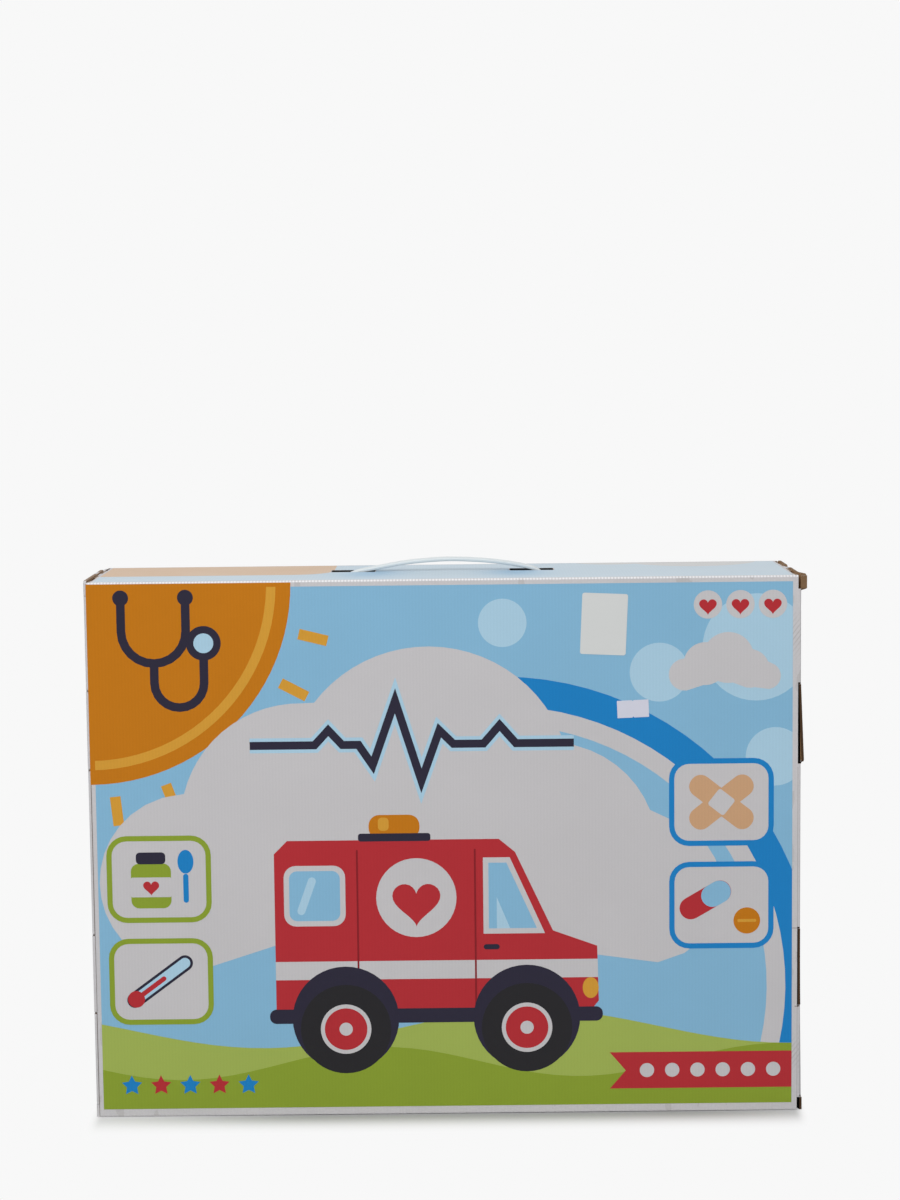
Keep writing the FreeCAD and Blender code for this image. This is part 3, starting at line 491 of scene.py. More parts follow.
def plasticMaterial(name, look):
    material, tree, shader = tintedMaterial(name, look["colour"], mouldedSkinGroup, 0.08,
                                            Grain=1300, Rough=look["rough"], Rub=0.14)
    setInputs(shader, {"Metallic": look.get("metal", 0.0), "IOR": 1.49,
                       "Transmission Weight": look.get("clear", 0.0)})
    if "milky" in look:  # light passes, so its shadow is faint
        path = addNode(tree, "LightPath")
        unseen = calc(tree, "MAXIMUM", path.outputs["Is Shadow Ray"], path.outputs["Is Diffuse Ray"])
        tree.links.new(calc(tree, "MULTIPLY_ADD", unseen, -look["milky"], 1.0), shader.inputs["Alpha"])
    return material


def labelMaterial(name, paper):
    return tintedMaterial(name, paper, paperToothGroup, 0.15, Tooth=1600, Mottle=0.05, Gloss=0.5)[0]


finishes = {name: plasticMaterial(name, look) for name, look in plastics.items()}
finishes["label_paper"] = labelMaterial("labelPaper", (198, 200, 200))


def dress(piece, material):
    if piece.material_slots:
        for place in piece.material_slots:
            place.material = material
    else:
        piece.data.materials.append(material)


slotOf = {row["node"]: row["material_slot"] for row in frame["record"]["subparts"]}
boardMaterials = {name: boardMaterial(name, board) for name, board in boards.items()}
for name, piece in nodes.items():
    dress(piece, boardMaterials[name] if name in boardMaterials else finishes[slotOf[name]])
print("materials on every node")


# end walls: raw rims stand proud of the top, and the right wall is crushed and sprung at its front

caseFront = -61
outerPly = {"from": 263, "gauge": 2, "slack": 0.1}
crushedCorner = {"reach": 4.2, "low": 393.4, "rise": 1.6, "behind": -40, "inside": 0.45}
tongue = {"reach": 2.4, "low": 263, "full": 267, "high": 326, "behind": -54.5}
foot = {"reach": 1.6, "high": 115, "behind": -54.5}
rims = {
    "from": 404.5, "soft": 3,
    "left": {"rise": 1.7, "stretches": [(-61, 34)]},
    "right": {"rise": 1.2, "stretches": [(-59, -2), (14, 57)]},
}


def ease(level):
    level = min(max(level, 0.0), 1.0)
    return level * level * (3 - 2 * level)


def forward(y, behind):  # 0 behind a depth, 1 at the front of the case
    return ease((behind - y) / (behind - caseFront))


def proud(side, y, z):  # how far the raw rim stands up
    look, soft = rims[side], rims["soft"]
    shares = [ease((y - start) / soft) * ease((end - y) / soft) for start, end in look["stretches"]]
    return look["rise"] * max(shares) if z > rims["from"] else 0.0


def leftBend(x, y, z):
    return 0.0, proud("left", y, z)


def rightBend(x, y, z):
    out = crushedCorner["reach"] * ease((z - crushedCorner["low"]) / crushedCorner["rise"])
    inside = crushedCorner["inside"]  # the crushed corner's outside moves more
    share = (x - outerPly["from"]) / outerPly["gauge"]
    out *= forward(y, crushedCorner["behind"]) * (inside + (1 - inside) * share)
    taper = min(max((tongue["high"] - z) / (tongue["high"] - tongue["full"]), 0.0), 1.0)
    root = ease((z - tongue["low"]) / (tongue["full"] - tongue["low"]))
    out += tongue["reach"] * taper * root * forward(y, tongue["behind"])
    out += foot["reach"] * ease(1 - z / foot["high"]) * forward(y, foot["behind"])
    return out, proud("right", y, z)


splay = {
    "left": {"bend": leftBend, "heights": (), "depths": (-60, -59, -58, 31, 32, 33, 34)},
    "right": {"bend": rightBend,
              "heights": (10, 30, 50, 70, 90, 115, 263, 264.3, 265.7, 267, 275, 285, 295, 305, 315, 325,
                          393.4, 393.8, 394.2, 394.6, 395),
              "depths": (-60, -59, -58, -57, -56, -55, -54.5, -52, -49, -46, -43, -40,
                         -5, -3.5, -2, 14, 15.5, 17, 54, 55.5)},
}


def splayed(point, look):
    x, y, z = point / mm
    if abs(x) < outerPly["from"] - outerPly["slack"]:
        return point
    out, up = look["bend"](x, y, z)
    return Vector((x + copysign(out, x), y, z + up)) * mm


def springOut(form, look):  # slice the sheet, then bend it
    cuts = [(Vector((0, 0, 1)), height) for height in look["heights"]]
    cuts += [(Vector((0, 1, 0)), depth) for depth in look["depths"]]
    for normal, level in cuts:
        bmesh.ops.bisect_plane(form, geom=form.verts[:] + form.edges[:] + form.faces[:],
                               plane_co=normal * level * mm, plane_no=normal, dist=1e-7)
    for point in form.verts:
        point.co = splayed(point.co, look)


def addObject(name, data):
    thing = bpy.data.objects.new(name, data)
    bpy.context.scene.collection.objects.link(thing)
    return thing


def newMesh(name, corners, faces):
    mesh = bpy.data.meshes.new(name)
    mesh.from_pydata(corners, [], faces)
    return mesh


def loftFaces(first, count, rings):  # caps and sides of a run of rings
    last = first + count * (rings - 1)
    faces = [list(range(first + count - 1, first - 1, -1)), list(range(last, last + count))]
    for start in range(first, last, count):
        for step in range(count):
            here, there = start + step, start + (step + 1) % count
            faces.append([here, there, there + count, here + count])
    return faces


def addPiece(name, mesh, body, material, slotName):
    piece = addObject(name, mesh)
    dress(piece, material)
    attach(piece, body)
    return piece


for side, look in splay.items():
    node = "end_wall_" + side
    form = bmesh.new()
    form.from_mesh(nodes[node].data)
    bmesh.ops.remove_doubles(form, verts=form.verts[:], dist=1e-6)
    springOut(form, look)
    mesh = bpy.data.meshes.new("rolled_end_" + side)
    form.to_mesh(mesh)
    form.free()
    mesh.materials.clear()
    wall = addPiece("rolled_end_" + side, mesh, "case", boardMaterials[node], "printed_board")
    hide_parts(node)
print("end walls bent")


# print: flat shapes in millimetres on each panel, pulled as thin closed films of ink

panels = {
    "front": {"origin": (0, -61, 0), "across": (1, 0, 0), "fields": [(-259.6, 6, 258.8, 400.6)]},
    "frontBleed": {"origin": (0, -61, 0), "across": (1, 0, 0), "fields": [(-263.3, 200, -92, 403.7)]},
    "back": {"body": "lid", "origin": (0, 61, 0), "across": (-1, 0, 0), "fields": [(-254, 5, 254, 396)]},
    "top": {"origin": (0, 0, 405), "across": (1, 0, 0), "up": (0, 1, 0),
            "fields": [(-259, -57, 259, 3.2), (-259, 20.8, 259, 59), (-259, 3.2, -85.6, 20.8),
                       (-50.9, 3.2, 50.9, 20.8), (85.6, 3.2, 259, 20.8)]},
    "left": {"origin": (-265, 0, 0), "across": (0, -1, 0), "fields": [(-56, 8, 58, 396)]},
    "right": {"origin": (265, 0, 0), "across": (0, 1, 0), "fields": [(-54, 8, 56, 392)]},
    "bottom": {"origin": (0, 0, 0), "across": (1, 0, 0), "up": (0, -1, 0), "fields": [(-259, -56, 259, 57)]},
    "screen": {"origin": (-133, -3.3, 115.8), "across": (-1, 0, 0), "fields": [(-72, -49, 72, 49)]},
    "controls": {"origin": (-133, -3.3, 39.8), "across": (-1, 0, 0), "fields": [(-14, -12, 31, 12)]},
    "thermometer": {"origin": (-175.5, -11, 195), "across": (-1, 0, 0), "fields": [(-58, -10, 58, 10)]},
    "column": {"origin": (204, 16, 166), "across": (-1, 0, 0), "fields": [(-36, -150, 36, 150)]},
}
for name, look in panels.items():
    look.setdefault("body", "case")
    look.setdefault("up", (0, 0, 1))
    look["slot"] = "label_paper" if name in ("screen", "controls", "thermometer", "column") else "printed_board"
film = {  # heights of the first ink film and of each one over it
    "under": 0.004, "base": 0.03, "step": 0.011, "part": 0.0014, "parts": 7, "shortest": 0.01, "smallest": 0.5,
}
printRuns = {}
laidBefore = {}


def circle(u, v, radius, steps=44):
    return oval(u, v, radius, radius, steps)


def oval(u, v, wide, tall, steps=40):
    angles = [2 * pi * step / steps for step in range(steps)]
    return [(u + wide * cos(angle), v + tall * sin(angle)) for angle in angles]


def moved(points, u, v, turn):
    c, s = cos(radians(turn)), sin(radians(turn))
    return [(u + c * a - s * b, v + s * a + c * b) for a, b in points]


def polar(u, v, reach, turn):
    return (u + reach * cos(radians(turn)), v + reach * sin(radians(turn)))


def roundBox(u, v, wide, tall, corner, turn=0):
    points = []
    for sideU, sideV, start in ((1, 1, 0), (-1, 1, 90), (-1, -1, 180), (1, -1, 270)):
        middle = (sideU * (wide / 2 - corner), sideV * (tall / 2 - corner))
        points += [polar(*middle, corner, start + 15 * step) for step in range(7)]
    return moved(points, u, v, turn)


def strip(first, last, width):  # round-ended stroke between two points
    run, rise = last[0] - first[0], last[1] - first[1]
    length = hypot(run, rise)
    middle = ((first[0] + last[0]) / 2, (first[1] + last[1]) / 2)
    return roundBox(*middle, length + width, width, width / 2 * 0.999, degrees(atan2(rise, run)))


def heart(u, v, size):
    steps = 44
    points = []
    for step in range(steps):
        t = 2 * pi * step / steps
        across = 16 * sin(t) ** 3
        up = 13 * cos(t) - 5 * cos(2 * t) - 2 * cos(3 * t) - cos(4 * t)
        points.append((u + across * size / 32, v + up * size / 32))
    return points


def star(u, v, radius):
    return [polar(u, v, radius / 2 if step % 2 else radius, 90 + 36 * step) for step in range(10)]


def ringWedges(u, v, outer, inner, start, end):  # a ring as short curved blocks
    count = max(1, round((end - start) / 12))
    wedges = []
    for number in range(count):
        low, high = (start + (end - start) * (number + side) / count for side in (0, 1))
        turns = [low + (high - low) * step / 3 for step in range(4)]
        edge = [polar(u, v, outer, turn) for turn in turns]
        wedges.append(edge + [polar(u, v, inner, turn) for turn in reversed(turns)])
    return wedges


def ridge(low, high, base, height, swell, waves, shift):
    steps = 40
    points = [(low, base), (high, base)]
    for step in range(steps, -1, -1):
        u = low + (high - low) * step / steps
        points.append((u, height + swell * sin(waves * u / 100 + shift)))
    return points


def clipped(points, field):  # cut a shape to the printed field
    left, low, right, high = field
    for axis, limit, sign in ((0, left, 1), (1, low, 1), (0, right, -1), (1, high, -1)):
        kept = []
        for index, here in enumerate(points):
            before = points[index - 1]
            isIn, wasIn = (here[axis] - limit) * sign >= 0, (before[axis] - limit) * sign >= 0
            if isIn != wasIn:
                share = (limit - before[axis]) / (here[axis] - before[axis])
                kept.append(tuple(old + share * (new - old) for old, new in zip(before, here)))
            if isIn:
                kept.append(here)
        points = kept
        if len(points) < 3:
            return []
    return points


def area(points):
    return sum(a[0] * b[1] - b[0] * a[1] for a, b in zip(points, points[1:] + points[:1])) / 2


def lay(panel, inkName, level, *shapes):
    turn = laidBefore.get((panel, level), 0)  # films of one level still lie one over the other
    laidBefore[panel, level] = turn + 1
    lift = film["base"] + film["step"] * level + film["part"] * (turn % film["parts"])
    for shape in shapes:
        for field in panels[panel]["fields"]:
            outline = clipped(shape, field)
            tidy = [p for index, p in enumerate(outline) if dist(p, outline[index - 1]) > film["shortest"]]
            if len(tidy) > 2 and abs(area(tidy)) > film["smallest"]:
                outline = tidy if area(tidy) > 0 else tidy[::-1]
                printRuns.setdefault((panel, inkName), []).append((outline, lift))


def penOn(panel, u=0, v=0, size=1):  # lays shapes from a spot on a panel
    def put(inkName, level, *shapes):
        lay(panel, inkName, level, *[[(u + size * a, v + size * b) for a, b in shape] for shape in shapes])
    return put


def filmMesh(name, look, shapes):  # closed sheets on a panel, each of its own height
    origin, across, up = (Vector(look[key]) for key in ("origin", "across", "up"))
    out = across.cross(up)
    corners, faces = [], []
    for outline, lift in shapes:
        faces += loftFaces(len(corners), len(outline), 2)
        for height in (film["under"], lift):
            corners += [(origin + across * u + up * v + out * height) * mm for u, v in outline]
    return newMesh(name, corners, faces)


def pullPrint():
    for (panel, inkName), shapes in printRuns.items():
        look, name = panels[panel], panel + "_" + inkName
        addPiece(name, filmMesh(name, look, shapes), look["body"], inkMaterials[inkName], look["slot"])
    print("print pulled:", len(printRuns), "films")


stickers = {
    "large_label": {"middle": (119.2, 370.3), "size": (33.8, 45.6), "corner": 1.7, "nick": 0.0, "turn": -2.6,
                    "thick": 0.2, "paper": (199, 201, 200)},
    "small_label": {"middle": (140.4, 306.8), "size": (23.4, 13), "corner": 0.25, "nick": 0.9, "turn": 2.2,
                    "thick": 0.2, "paper": (198, 199, 212)},
}


def stickSticker(name, look):
    wide, tall = look["size"]
    outline = roundBox(0, 0, wide, tall, look["corner"])
    if look["nick"]:  # small cuts halfway along both long edges
        half, nick = tall / 2, look["nick"]
        corners = len(outline) // 4
        upper = [(0.8 * nick, half), (0, half - nick), (-0.8 * nick, half)]
        lower = [(-a, -b) for a, b in upper]
        outline = outline[:corners] + upper + outline[corners:3 * corners] + lower + outline[3 * corners:]
    placed = moved(outline, *look["middle"], look["turn"])
    mesh = filmMesh(name + "_sheet", panels["front"], [(placed, look["thick"])])
    sheet = addPiece(name + "_sheet", mesh, "case", labelMaterial(name + "Paper", look["paper"]), "label_paper")
    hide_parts(name)


strap = {  # bow as x and height over the top, slid a little to the right
    "bow": [(-80, -6.9), (-68, -1.2), (-52, 2.2), (-32.5, 5.7), (-14, 7.7), (6, 8.6), (29, 7.6), (48, 5.5),
            (64, 2.5), (73, -0.6), (80, -6.9)],
    "deck": 405, "depth": 12, "width": 15, "gauge": 2.4, "neck": 1.8, "edge": 0.8, "thinBelow": 4,
    "fineness": 7,
    "anchor": {"from": 79, "to": 90, "height": -7.4, "width": 22, "gauge": 2.2},
}


def strapLine():  # smooth run through the bow's points
    points = [Vector((x, height)) for x, height in strap["bow"]]
    stations = points[:1] + points + points[-1:]
    run = []
    for before, here, there, after in zip(stations, stations[1:], stations[2:], stations[3:]):
        leave, arrive = here + (there - before) / 6, there - (after - here) / 6
        run += interpolate_bezier(here, leave, arrive, there, strap["fineness"])[:-1]
    return run + points[-1:]


def strapRing(middle, along, width, gauge):
    rise = Vector((-along.y, along.x))
    ring = []
    for a, b in roundBox(0, 0, width, gauge, min(strap["edge"], 0.45 * gauge)):
        spot = middle + rise * b
        ring.append(Vector((spot.x, strap["depth"] + a, strap["deck"] + spot.y)) * mm)
    return ring


def bowStrap():  # one closed loft from anchor to anchor
    anchor, line = strap["anchor"], strapLine()
    rings = []
    for index, spot in enumerate(line):
        along = (line[min(index + 1, len(line) - 1)] - line[max(index - 1, 0)]).normalized()
        gauge = strap["neck"] + (strap["gauge"] - strap["neck"]) * ease(1 + spot.y / strap["thinBelow"])
        rings.append(strapRing(spot, along, strap["width"], gauge))
    ends = []
    for x in (-anchor["to"], -anchor["from"], anchor["from"], anchor["to"]):
        middle = Vector((x, anchor["height"]))
        ends.append(strapRing(middle, Vector((1, 0)), anchor["width"], anchor["gauge"]))
    rings = ends[:2] + rings + ends[2:]
    corners = [spot for ring in rings for spot in ring]
    mesh = newMesh("bowed_strap", corners, loftFaces(0, len(rings[0]), len(rings)))
    mesh.shade_smooth()
    mesh.set_sharp_from_angle(angle=radians(40))
    piece = addPiece("bowed_strap", mesh, "handle", finishes["strap_plastic"], slotOf["carry_handle"])
    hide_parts("carry_handle")


def cloudBank(u, v, size):  # outer edge of five puffs, as one outline
    puffs = ((-1.35, 0.1, 0.6), (-0.6, 0.5, 0.8), (0.25, 0.72, 0.95), (1.05, 0.3, 0.72), (1.7, 0.02, 0.5))
    steps, flatFoot = 120, -0.5
    outline = []
    for step in range(steps):
        angle = 2 * pi * step / steps
        c, s = cos(angle), sin(angle)
        reach = 0.0
        for a, b, radius in puffs:
            middle = a * c + b * s
            inside = radius * radius - (a * a + b * b - middle * middle)
            if inside > 0:
                reach = max(reach, middle + sqrt(inside))
        outline.append((u + size * reach * c, v + size * max(flatFoot, reach * s)))
    return outline


def stroke(points, width):  # one outline along a run of straight lines
    spots = [Vector(spot) for spot in points]
    runs = [there - here for here, there in zip(spots, spots[1:])]
    normals = [Vector((-run.y, run.x)).normalized() for run in runs]
    right, left = [], []
    for here, first, last in zip(spots, normals[:1] + normals, normals + normals[-1:]):
        bisector = (first + last).normalized()
        offset = bisector * min(width / 2 / max(bisector.dot(first), 0.2), 2.2 * width)
        right.append(tuple(here - offset))
        left.append(tuple(here + offset))
    return right + left[::-1]


def iconCard(panel, u, v, icon, frameInk="ringBlue"):
    put = penOn(panel, u, v)
    put(frameInk, 6, roundBox(0, 0, 78, 66, 15))
    put("paperWhite", 7, roundBox(0, 0, 70, 58, 11))
    if icon == "plaster":
        put("plasterTan", 8, roundBox(0, 0, 56, 17, 8, 38))
        put("plasterTan", 9, roundBox(0, 0, 56, 17, 8, -38))
        put("paperWhite", 10, roundBox(0, 0, 15, 15, 2, -38))
    elif icon == "capsules":
        put("cartRed", 8, roundBox(-12, 4, 42, 17, 8.4, 30))
        put("skyBlue", 9, roundBox(-4, 8.6, 23, 17, 8.4, 30))
        put("sunOrange", 8, circle(19, -12, 10))
        put("sunGold", 9, strip((13, -12), (25, -12), 2.2))
    elif icon == "bottle":
        put("hillGreen", 8, roundBox(-6, -5, 30, 34, 6))
        put("paperWhite", 9, roundBox(-6, -6, 30, 15, 1))
        put("cartRed", 10, heart(-6, -6, 12))
        put("navy", 8, roundBox(-6, 16, 22, 9, 3))
        put("ringBlue", 8, strip((20, -16), (20, 2), 4), oval(20, 13.2, 6, 9))
    elif icon == "thermometer":
        put("navy", 8, strip((-20, -14), (18, 14), 12))
        put("paleBlue", 9, strip((-18, -12.6), (18, 14), 8))
        put("cartRed", 10, strip((-18, -12.6), (2, 2.2), 3.6))
        put("cartRed", 11, circle(-19, -13.4, 6.4))


def pulseLine(panel, level, u, v, size):
    put = penOn(panel, u, v, size)
    beats = [(-140, 0), (-84, 0), (-72, 13), (-60, 0), (-46, 0), (-34, -18), (-14, 38), (8, -32), (24, 12),
             (36, 0), (62, 0), (76, 16), (90, 0), (140, 0)]
    put("paleBlue", level, stroke(beats, 13))
    put("navy", level + 1, stroke(beats, 7))


def toyVan(panel, u, v):  # red play van with a heart on its side
    put = penOn(panel, u, v)
    put("cartRed", 6, [(-122, 14), (112, 14), (120, 24), (119, 66), (86, 78), (58, 138), (46, 148),
                       (-112, 148), (-122, 138)])
    put("paperWhite", 7, [(-122, 42), (119.6, 42), (119.3, 56), (-122, 56)])
    put("deepRed", 7, *[strip((seam, 22), (seam, 140), 1.4) for seam in (-60, 28)])
    put("paperWhite", 7, roundBox(-92, 106, 46, 46, 9), circle(-16, 104, 30))
    put("skyBlue", 8, roundBox(-92, 106, 38, 38, 6))
    put("cartRed", 8, heart(-16, 101, 36))
    put("paperWhite", 7, [(34, 76), (80, 76), (54, 134), (34, 134)])
    put("skyBlue", 8, [(38, 80), (74, 80), (51.5, 130), (38, 130)])
    put("paleBlue", 9, [(44, 80), (54, 80), (44, 104)], roundBox(-98, 106, 6, 30, 3, -20))
    put("navy", 7, roundBox(-2, 14, 250, 11, 5), roundBox(-32, 150, 54, 6, 2))
    put("sunOrange", 6, roundBox(-32, 158, 38, 18, 8))
    put("sunGold", 7, roundBox(-40, 160, 8, 10, 3), oval(114, 34, 6, 8))
    put("navy", 7, roundBox(40, 66, 12, 4, 2))
    for hub in (-70, 66):
        put("navy", 8, circle(hub, 12, 40))
        put("tyreBlack", 9, circle(hub, 4, 34))
        put("paperWhite", 10, circle(hub, 4, 19))
        put("cartRed", 11, circle(hub, 4, 16))
        put("paperWhite", 12, circle(hub, 4, 5))


def soundTube(panel, level, u, v, size):  # listening tube: yoke, tube, chest disc and ear tips
    put = penOn(panel, u, v, size)
    yoke, tube = ([polar(*bow, 180 + 15 * step) for step in range(13)] for bow in ((0, 20, 26), (20, -22, 20)))
    put("navy", level, stroke([(-26, 46)] + yoke + [(26, 46)], 7))
    put("navy", level, stroke([(0, -4)] + tube + [(40, 0)], 7))
    for tip in (-26, 26):
        put("navy", level, circle(tip, 47, 6.4))
    put("navy", level, circle(40, 10, 14))
    put("paleBlue", level + 1, circle(40, 10, 8))


def rainbow(put, level, u, v, start, end, *bands):
    for outer, inner, tone in bands:
        put(tone, level, *ringWedges(u, v, outer, inner, start, end))


def printFront():
    put = penOn("front")
    put("skyBlue", 0, roundBox(0, 202, 540, 420, 1))
    put("paleBlue", 1, circle(232, 352, 40), circle(160, 334, 22), circle(246, 270, 22), circle(44, 372, 18))
    lay("frontBleed", "sunOrange", 1, circle(-262, 404, 150, 96))
    put("sunGold", 2, *ringWedges(-262, 404, 139, 132, -90, 2))
    for turn in range(-84, 0, 14):
        put("sunGold", 2, stroke([polar(-262, 404, reach, turn) for reach in (160, 182)], 8))
    rainbow(put, 2, 40, 96, -24, 128, (236, 214, "ringBlue"), (214, 200, "paperWhite"), (200, 184, "skyBlue"))
    put("paperWhite", 3, cloudBank(-40, 168, 112))
    put("paperWhite", 3, cloudBank(206, 330, 20))
    put("farGreen", 4, ridge(-270, 270, 0, 66, 14, 1.6, 0.6))
    put("hillGreen", 5, ridge(-270, 270, 0, 40, 12, 2.1, 2.6))
    toyVan("front", -6, 62)
    soundTube("front", 3, -214, 350, 0.92)
    pulseLine("front", 5, -24, 282, 0.86)
    iconCard("front", 206, 236, "plaster")
    iconCard("front", 206, 158, "capsules")
    iconCard("front", -214, 182, "bottle", "hillGreen")
    iconCard("front", -214, 104, "thermometer", "hillGreen")
    put("cartRed", 6, [(122, 18), (262, 18), (262, 46), (122, 46), (134, 32)])
    for number in range(6):
        put("paperWhite", 7, circle(150 + 19 * number, 32, 5.4))
    for number in range(3):
        put("paperWhite", 6, circle(196 + 24 * number, 384, 10.5))
        put("cartRed", 7, heart(196 + 24 * number, 383, 13))
    for number in range(5):
        put("cartRed" if number % 2 else "ringBlue", 6, star(-238 + 22 * number, 24, 8))


def printTop():
    put = penOn("top")
    put("topBlue", 0, roundBox(0, 0, 540, 124, 1))
    put("topOrange", 1, roundBox(-213, 40, 260, 110, 30))
    put("topWhite", 2, circle(196, 74, 52))
    put("topWhite", 3, circle(132, 78, 34))


def printEnds():
    for panel in ("left", "right"):
        put = penOn(panel)
        put("skyBlue", 0, roundBox(0, 202, 124, 420, 1))
        put("paleBlue", 1, circle(-30, 330, 30), circle(34, 368, 16), circle(40, 214, 24))
        put("paperWhite", 2, cloudBank(-4, 250, 30))
        rainbow(put, 3, 0, 78, 0, 180, (52, 44, "ringBlue"), (44, 38, "paperWhite"))
        put("farGreen", 4, ridge(-70, 70, 0, 74, 8, 5, 0.4))
        put("hillGreen", 5, ridge(-70, 70, 0, 46, 7, 6, 2.1))
        put("cartRed", 6, heart(0, 256, 34))
        put("sunOrange", 1, circle(-58 if panel == "left" else 58, 398, 58))


def printBack():
    put = penOn("back")
    put("skyBlue", 0, roundBox(0, 202, 540, 420, 1))
    put("paleBlue", 1, circle(-200, 330, 40), circle(150, 356, 28), circle(222, 300, 18))
    put("sunOrange", 1, circle(262, 402, 150, 80))
    put("sunGold", 2, *ringWedges(262, 402, 138, 131, 178, 272))
    put("paperWhite", 2, cloudBank(-60, 250, 62))
    rainbow(put, 3, 96, 70, 0, 180, (172, 156, "ringBlue"), (156, 146, "paperWhite"), (146, 132, "cartRed"))
    put("farGreen", 4, ridge(-270, 270, 0, 74, 15, 1.7, 1.4))
    put("hillGreen", 5, ridge(-270, 270, 0, 44, 12, 2.2, 0.3))
    for number, icon in enumerate(("thermometer", "plaster", "bottle")):
        iconCard("back", -196 + 92 * number, 176, icon, "hillGreen" if number % 2 else "ringBlue")
    put("cartRed", 6, heart(-58, 278, 58))
    beat = [(-84, 284), (-68, 284), (-60, 298), (-50, 268), (-44, 284), (-30, 284)]
    put("paperWhite", 7, stroke(beat, 4))


def printBottom():
    put = penOn("bottom")
    put("paleBlue", 0, roundBox(0, 0, 500, 96, 14))
    put("paperWhite", 1, roundBox(0, 0, 484, 80, 10))


def printSet():
    put = penOn("screen")
    put("navy", 0, roundBox(0, 0, 144, 98, 5))
    put("paleBlue", 1, roundBox(0, -1, 9, 84, 4))
    for number in range(5):  # rib cage on the viewer's screen
        high, wide = 30 - 14 * number, 37 + 3 * number
        for side in (-1, 1):
            bows = [radians(16 * step) for step in range(12)]
            rib = [(side * wide * (0.58 - 0.42 * cos(bow)), high + 11 * sin(bow) + 4 * cos(bow))
                   for bow in bows]
            put("paperWhite", 1, stroke(rib, 5))
    put("ringBlue", 1, circle(63, -41, 4), circle(-63, -41, 4))
    lay("controls", "paperWhite", 0, heart(0, 0, 15), star(20, 0, 8))
    put = penOn("thermometer")
    put("hillGreen", 0, roundBox(-12.5, 0, 36, 9, 1.5))
    put("navy", 1, *[roundBox(-26 + 5 * bar, 0, 2.6, 3 + bar, 0.6) for bar in range(6)])
    put("ringBlue", 0, circle(31, 0, 8.4))
    put("cartRed", 1, circle(31, 0, 6.4))
    put = penOn("column")
    put("paperWhite", 0, roundBox(0, 62, 62, 112, 14))
    put("cartRed", 1, heart(0, 84, 34))
    put("navy", 1, stroke([(-24, 38), (-12, 38), (-6, 50), (2, 24), (8, 38), (24, 38)], 4))
    put("ringBlue", 0, *[roundBox(0, -60 - 17 * slat, 56 - 6 * slat, 6, 3) for slat in range(4)])


barrels = {  # round pieces along x; each band has ink, lift, run in x and turn
    "pill": {"y": -8, "z": 200.5, "radius": 18, "bands": {
        "Label": ("paperWhite", 0, (-101, -66), (-75, 75)),
        "Stripe": ("hillGreen", 0.14, (-99, -95), (-75, 75)),
        "Mark": ("cartRed", 0.14, (-86, -74), (-16, 16))}},
    "drip": {"y": -25, "z": 370.6, "radius": 26, "bands": {
        "Label": ("paperWhite", 0, (170, 214), (-70, 40)),
        "Stripe": ("ringBlue", 0.14, (172, 177), (-70, 40))}},
    "syringe": {"y": -8, "z": 171, "radius": 15, "bands": {}},
}
for mark in range(5):
    run = (184 + 6 * mark, 185.4 + 6 * mark)
    barrels["drip"]["bands"]["Level" + str(mark)] = ("ringBlue", 0.14, run, (-20, 20))
for mark in range(10):
    run = (2 + 5 * mark, 2.9 + 5 * mark)
    barrels["syringe"]["bands"]["Mark" + str(mark)] = ("navy", 0, run, (20, 75 if mark % 2 else 95))
bandFilm = {"under": 0.02, "over": 0.12, "step": 6, "fewest": 6}


def wrapBand(name, barrel, inkName, lift, run, turn):
    start, sweep = turn[0], turn[1] - turn[0]
    steps = max(bandFilm["fewest"], round(sweep / bandFilm["step"]))
    inner, outer = (barrel["radius"] + lift + bandFilm[side] for side in ("under", "over"))
    corners = []
    for step in range(steps + 1):
        turned = start + sweep * step / steps
        for x, reach in ((run[1], inner), (run[0], inner), (run[0], outer), (run[1], outer)):
            corners.append(Vector((x, *polar(barrel["y"], barrel["z"], reach, turned))) * mm)
    mesh = newMesh(name, corners, loftFaces(0, 4, steps + 1))
    mesh.shade_smooth()
    addPiece(name, mesh, "case", inkMaterials[inkName], "label_paper")


printFront()
printTop()
printEnds()
printBack()
printBottom()
printSet()
pullPrint()
bowStrap()
for name, look in stickers.items():
    stickSticker(name, look)
for owner, barrel in barrels.items():
    for part, band in barrel["bands"].items():
        wrapBand(owner + part, barrel, *band)
print("strap, labels and stickers on")


# floor, light and camera

studio = {
    # floor colours; the second is a painted contact shadow along the front foot
    "floor": (243, 243, 243), "paintedFootShadow": (164, 164, 164), "backdrop": (248, 248, 248),
    "ambient": 0.44, "reach": 8, "drop": 0.0002,
    # patch along the front foot with a painted contact shadow, where the real lit floor also shows; the middle
    # patch lightens that shadow toward the ends
    "footShadowPatch": {"middle": (0.0, -0.05), "half": (0.26, 0.011), "reach": (0.011, 0.047)},
    "footShadowMiddle": {"middle": (0.04, 0.0), "half": (0.13, 1.0), "reach": (0.19, 1.0)}, "footShadowEndLift": 0.33,
    "rearGround": {"middle": (0.0, 0.26), "half": (0.22, 0.19), "reach": (0.06, 0.03)},
}
lamps = {
    "keyLamp": {"spot": (-0.5, -1.3, 2.1), "target": (0, 0, 0.2), "size": 2.2, "power": 42},
    "backLamp": {"spot": (0.9, 2.1, 0.2), "target": (0, 0, 0.2), "size": 0.38, "power": 30},
}


def seenRays(tree):  # camera, mirror and clear-plastic rays
    path = addNode(tree, "LightPath")
    seen = calc(tree, "MAXIMUM", path.outputs["Is Camera Ray"], path.outputs["Is Glossy Ray"])
    return calc(tree, "MAXIMUM", seen, path.outputs["Is Transmission Ray"])


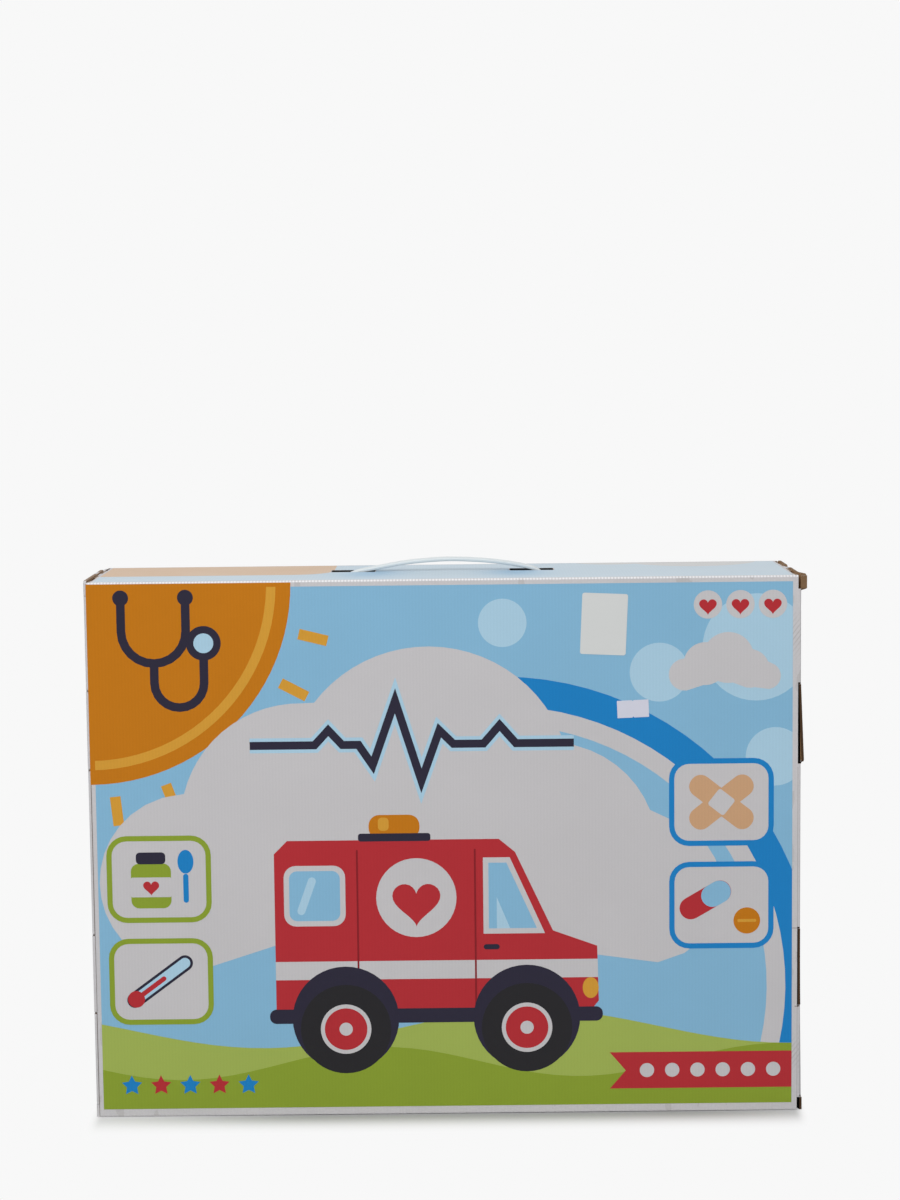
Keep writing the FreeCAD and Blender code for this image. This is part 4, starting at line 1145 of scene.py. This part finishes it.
def groundFade(tree, zone):  # 0 on a patch of floor, 1 past its reach
    place = placeAxes(tree)
    squares = []
    for axis, middle, half, reach in zip("xy", zone["middle"], zone["half"], zone["reach"]):
        offset = calc(tree, "ABSOLUTE", calc(tree, "SUBTRACT", place[axis], middle))
        gap = calc(tree, "MAXIMUM", calc(tree, "SUBTRACT", offset, half), 0.0)
        squares.append(calc(tree, "POWER", calc(tree, "DIVIDE", gap, reach), 2.0))
    fade = addNode(tree, "MapRange", interpolation_type="SMOOTHSTEP")
    tree.links.new(calc(tree, "SQRT", calc(tree, "ADD", *squares)), fade.inputs["Value"])
    return fade.outputs["Result"]


def blendShaders(tree, factor, first, second, output):
    blend = addNode(tree, "MixShader")
    for socket, source in zip(blend.inputs, (factor, first.outputs[0], second.outputs[0])):
        tree.links.new(source, socket)
    tree.links.new(blend.outputs[0], tree.nodes[output].inputs["Surface"])


def layFloor():
    reach = studio["reach"]
    corners = [(-reach, -reach, 0), (reach, -reach, 0), (reach, reach, 0), (-reach, reach, 0)]
    floor = addObject("studioFloor", newMesh("studioFloor", corners, [(0, 1, 2, 3)]))
    floor.location.z = -studio["drop"]
    material, tree, shader = newMaterial("studioPaper")
    setInputs(shader, {"Roughness": 0.9, "Specular IOR Level": 0.0})
    tooth = useGroup(tree, paperToothGroup, Tooth=60, Mottle=0.004, Gloss=0.9)
    # painted contact shadow along the front foot, seen by camera, mirror and clear rays only
    lighterShadowEnds = calc(tree, "MULTIPLY", groundFade(tree, studio["footShadowMiddle"]), studio["footShadowEndLift"])
    pastFootShadow = groundFade(tree, studio["footShadowPatch"])
    footShadowFade = calc(tree, "MULTIPLY_ADD", lighterShadowEnds, calc(tree, "SUBTRACT", 1.0, pastFootShadow), pastFootShadow)
    seen = seenRays(tree)
    noPaintedShadow = calc(tree, "MAXIMUM", footShadowFade, calc(tree, "SUBTRACT", 1.0, seen))
    paper = mixColour(tree, noPaintedShadow, ink(*studio["paintedFootShadow"]), ink(*studio["floor"]))
    tree.links.new(mixColour(tree, 1.0, paper, tooth["Shade"], "MULTIPLY"), shader.inputs["Base Color"])
    fade = calc(tree, "MINIMUM", footShadowFade, groundFade(tree, studio["rearGround"]))
    glow = addNode(tree, "Emission")
    setInputs(glow, {"Color": ink(*studio["backdrop"])})
    blendShaders(tree, calc(tree, "MULTIPLY", fade, seen), shader, glow, "Material Output")
    dress(floor, material)


def hangLamp(name, look):
    light = bpy.data.lights.new(name, "AREA")
    light.shape = "DISK"
    light.size = look["size"]
    light.energy = look["power"]
    lamp = addObject(name, light)
    lamp.location = look["spot"]
    aim = Vector(look["target"]) - Vector(look["spot"])
    lamp.rotation_euler = aim.to_track_quat("-Z", "Y").to_euler()


def lightWorld():
    world = bpy.data.worlds.new("studioWorld")
    bpy.context.scene.world = world
    world.use_nodes = True
    tree = world.node_tree
    plain = tree.nodes["Background"]
    setInputs(plain, {"Color": (1, 1, 1, 1), "Strength": studio["ambient"]})
    shown = addNode(tree, "Background")
    setInputs(shown, {"Color": ink(*studio["backdrop"])})
    blendShaders(tree, seenRays(tree), plain, shown, "World Output")


view = {"spot": (0.0082, -1.8788, 0.5768), "pitch": 5.886, "yaw": 0.082, "roll": 0.63, "lens": 74.26}


def setCamera():
    pitch, yaw, roll = (radians(view[name]) for name in ("pitch", "yaw", "roll"))
    ahead = Vector((-sin(yaw) * cos(pitch), cos(yaw) * cos(pitch), -sin(pitch)))
    right = ahead.cross(Vector((0, 0, 1))).normalized()
    up = right.cross(ahead)
    across = right * cos(roll) - up * sin(roll)
    above = right * sin(roll) + up * cos(roll)
    lens = bpy.data.cameras.new("photoCamera")
    lens.lens = view["lens"]
    lens.sensor_width = 36
    camera = addObject("photoCamera", lens)
    turned = Matrix((across, above, -ahead)).transposed().to_4x4()
    camera.matrix_world = Matrix.Translation(view["spot"]) @ turned
    bpy.context.scene.camera = camera


layFloor()
lightWorld()
for name, look in lamps.items():
    hangLamp(name, look)
setCamera()
bpy.context.scene.view_settings.view_transform = "Standard"
print("stage set")
